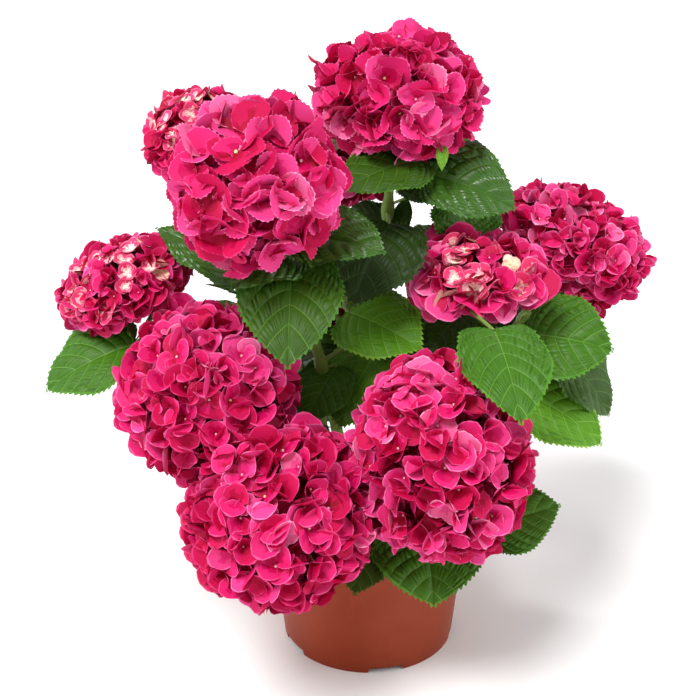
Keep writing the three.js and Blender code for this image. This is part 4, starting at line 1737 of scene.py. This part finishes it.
@dataclass
class Compost:
    """Damp compost: a lumpy crust with loose crumbs lying on it."""

    radius: float = 93.0
    under: float = 60.0  # how far down its side is made
    skirt: float = 0.955  # how much narrower its lower edge is
    lump: float = 2.2
    sunk: float = 1.2  # how far the crust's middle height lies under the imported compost's top
    rough: float = 0.35
    rings: int = 36
    spokes: int = 90
    crumbs: int = 800
    seed: int = 5
    waves: tuple[tuple[float, float, float], ...] = (  # radians to the millimetre each way, and phase
        (0.061, 0.043, 0.4),
        (-0.052, 0.088, 1.9),
        (0.131, -0.097, 2.7),
        (0.21, 0.19, 0.8),
        (-0.33, 0.29, 5.1),
    )
    fading: float = 3.2  # how much lower shorter waves are
    waves_sum: float = 1.6

    def _height(self, x: Array, y: Array) -> Array:
        """Find the crust's height.

        Args:
            x: Where, in millimetres to the right.
            y: Where, in millimetres to the back.

        Returns:
            The height in millimetres.
        """
        total = sum(
            math.exp(-self.fading * math.hypot(a, b)) * np.sin(a * x + b * y + phase)
            for a, b, phase in self.waves
        )
        return COMPOST_TOP - self.sunk + self.lump * total / self.waves_sum

    def build(self) -> bpy.types.Object:
        """Build and dress the compost.

        Returns:
            The piece.
        """
        rng = np.random.default_rng(self.seed)
        angle = circle(self.spokes)
        rings = np.linspace(0.5, self.radius, self.rings)
        x, y = rings[:, None] * np.cos(angle), rings[:, None] * np.sin(angle)
        rough = rng.normal(0, self.rough, x.shape) * np.linspace(0.2, 1, self.rings)[:, None]
        z = self._height(x, y) + rough
        foot = np.full(self.spokes, COMPOST_TOP - self.under)
        skirt = np.stack([x[-1] * self.skirt, y[-1] * self.skirt, foot], axis=-1)
        crust = np.concatenate([np.stack([x, y, z], axis=-1), skirt[None]])
        pile = MeshPile()
        pile.add_grids(crust[None] * MM, closed=True)
        self._crumbs(pile, rng)
        piece = pile.build("compost_crust", [CompostFinish().material()], smooth=False)
        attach(piece, "root")
        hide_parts("compost")
        log.info("compost_crust: %d faces", len(piece.data.polygons))
        return piece

    def _crumbs(self, pile: MeshPile, rng: np.random.Generator) -> None:
        """Scatter loose crumbs and fibres on the crust.

        Args:
            pile: Where they go.
            rng: The source of the randomness.
        """
        corners = np.array([[1, 0, 0], [-1, 0, 0], [0, 1, 0], [0, -1, 0], [0, 0, 1], [0, 0, -1]], float)
        around = ((0, 2), (2, 1), (1, 3), (3, 0))
        faces = np.array([[a, b, 4] for a, b in around] + [[b, a, 5] for a, b in around])
        count = self.crumbs
        bearing = rng.uniform(0, 2 * math.pi, count)
        out = (self.radius - 3) * np.sqrt(rng.uniform(0, 1, count))
        x, y = out * np.cos(bearing), out * np.sin(bearing)
        size = rng.gamma(3.0, 0.42, (count, 1)) + 0.35
        shape = rng.uniform(0.5, 1.3, (count, len(corners), 3))
        long = rng.uniform(0.7, 2.0, (count, 1))
        flat = rng.uniform(0.4, 0.9, (count, 1))
        shape = shape * np.hstack([long, np.ones((count, 1)), flat])[:, None]
        up = unit(rng.normal(0, 0.35, (count, 3)) + [0, 0, 1])
        turns = frames_about(up, rng.uniform(0, 6.3, count))
        local = np.einsum("nij,nkj->nki", turns, corners[None] * shape * size[:, None])
        z = self._height(x, y) + size[:, 0] * 0.3
        points = local + np.stack([x, y, z], axis=-1)[:, None]
        numbers = faces[None] + (np.arange(count) * len(corners))[:, None, None]
        pile.add(points.reshape(-1, 3) * MM, numbers.reshape(-1, 3))


# ---------------------------------------------------------------------------------------------------------
# Studio
# ---------------------------------------------------------------------------------------------------------


@dataclass(frozen=True)
class SoftBox:
    """A far, wide light, given by where it stands: its bearing from the front, its height and its width."""

    name: str
    bearing: float
    elevation: float
    spread: float
    strength: float

    def build(self) -> bpy.types.Object:
        """Make the light and aim it.

        Returns:
            The light.
        """
        data = bpy.data.lights.new(self.name, "SUN")
        data.angle, data.energy = math.radians(self.spread), self.strength
        light = bpy.data.objects.new(self.name, data)
        bearing, rise = math.radians(self.bearing), math.radians(self.elevation)
        flat = math.cos(rise)
        towards = Vector((math.sin(bearing) * flat, -math.cos(bearing) * flat, math.sin(rise)))
        light.location = towards * 3
        light.rotation_mode = "QUATERNION"
        light.rotation_quaternion = (-towards).to_track_quat("-Z", "Y")
        bpy.context.scene.collection.objects.link(light)
        return light


@dataclass
class Studio:
    """The pale floor, the soft lights and the camera."""

    frame_pixels: float = 696.0
    focal_pixels: float = 1470.0
    sensor: float = 36.0
    pitch: float = 23.9
    camera_at: tuple[float, float, float] = (-0.020, -1.229, 0.844)
    floor_half: float = 80.0
    sky_low: float = 1.02
    sky_high: float = 0.66
    sky_front: float = 0.5  # the share of the sky's light that comes from the front
    fade_up: tuple[float, float] = (0.34, 0.75)  # from the low sky to the high sky
    fade_back: tuple[float, float] = (-0.95, -0.1)  # from the front to the full sky
    lights: tuple[SoftBox, ...] = (
        SoftBox("key_light", -28, 58, 20, 2.7),
        SoftBox("right_light", 78, 20, 40, 0.9),
        SoftBox("left_light", -78, 18, 40, 1.0),
    )

    def build(self) -> None:
        """Make the floor, lights, sky and camera."""
        scene = bpy.context.scene
        scene.view_settings.view_transform = "Standard"
        half = self.floor_half
        pile = MeshPile()
        corners = np.array([[-half, -half, 0], [half, -half, 0], [half, half, 0], [-half, half, 0]], float)
        pile.add(corners, np.array([[0, 1, 2, 3]]))
        floor = pile.build("studio_floor", [FloorFinish().material()], smooth=False)
        for light in self.lights:
            light.build()
        scene.world = self._sky()
        data = bpy.data.cameras.new("studio_camera")
        data.sensor_width = self.sensor
        data.lens = self.focal_pixels * self.sensor / self.frame_pixels
        camera = bpy.data.objects.new("studio_camera", data)
        camera.location = self.camera_at
        camera.rotation_euler = (math.radians(90 - self.pitch), 0, 0)
        scene.collection.objects.link(camera)
        scene.camera = camera
        log.info("studio: camera at %s", self.camera_at)

    def _sky(self) -> bpy.types.World:
        """Make a white sky that is brightest near the horizon and dimmer in front.

        Returns:
            The world.
        """
        world = bpy.data.worlds.new("studio_sky")
        world.use_nodes = True
        graph = Graph(world.node_tree, "Background")
        way = graph.node("ShaderNodeTexCoord", output="Generated")
        back, up = (graph.node("ShaderNodeSeparateXYZ", None, {"Vector": way}, axis) for axis in "YZ")
        glow = self.sky_low + (self.sky_high - self.sky_low) * up.step(*self.fade_up)
        share = self.sky_front + (1 - self.sky_front) * back.step(*self.fade_back)
        graph.put({"Color": (1, 1, 1, 1), "Strength": glow * share})
        return world


def write_sizes() -> None:
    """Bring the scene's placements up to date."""
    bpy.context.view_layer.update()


def main() -> None:
    """Build every piece in order."""
    logging.basicConfig(level=logging.INFO, format="%(name)s: %(message)s")
    Studio().build()
    Pot().build()
    Compost().build()
    Canes().build()
    Foliage().build()
    Blossom().build()
    write_sizes()


if __name__ == "__main__":
    main()
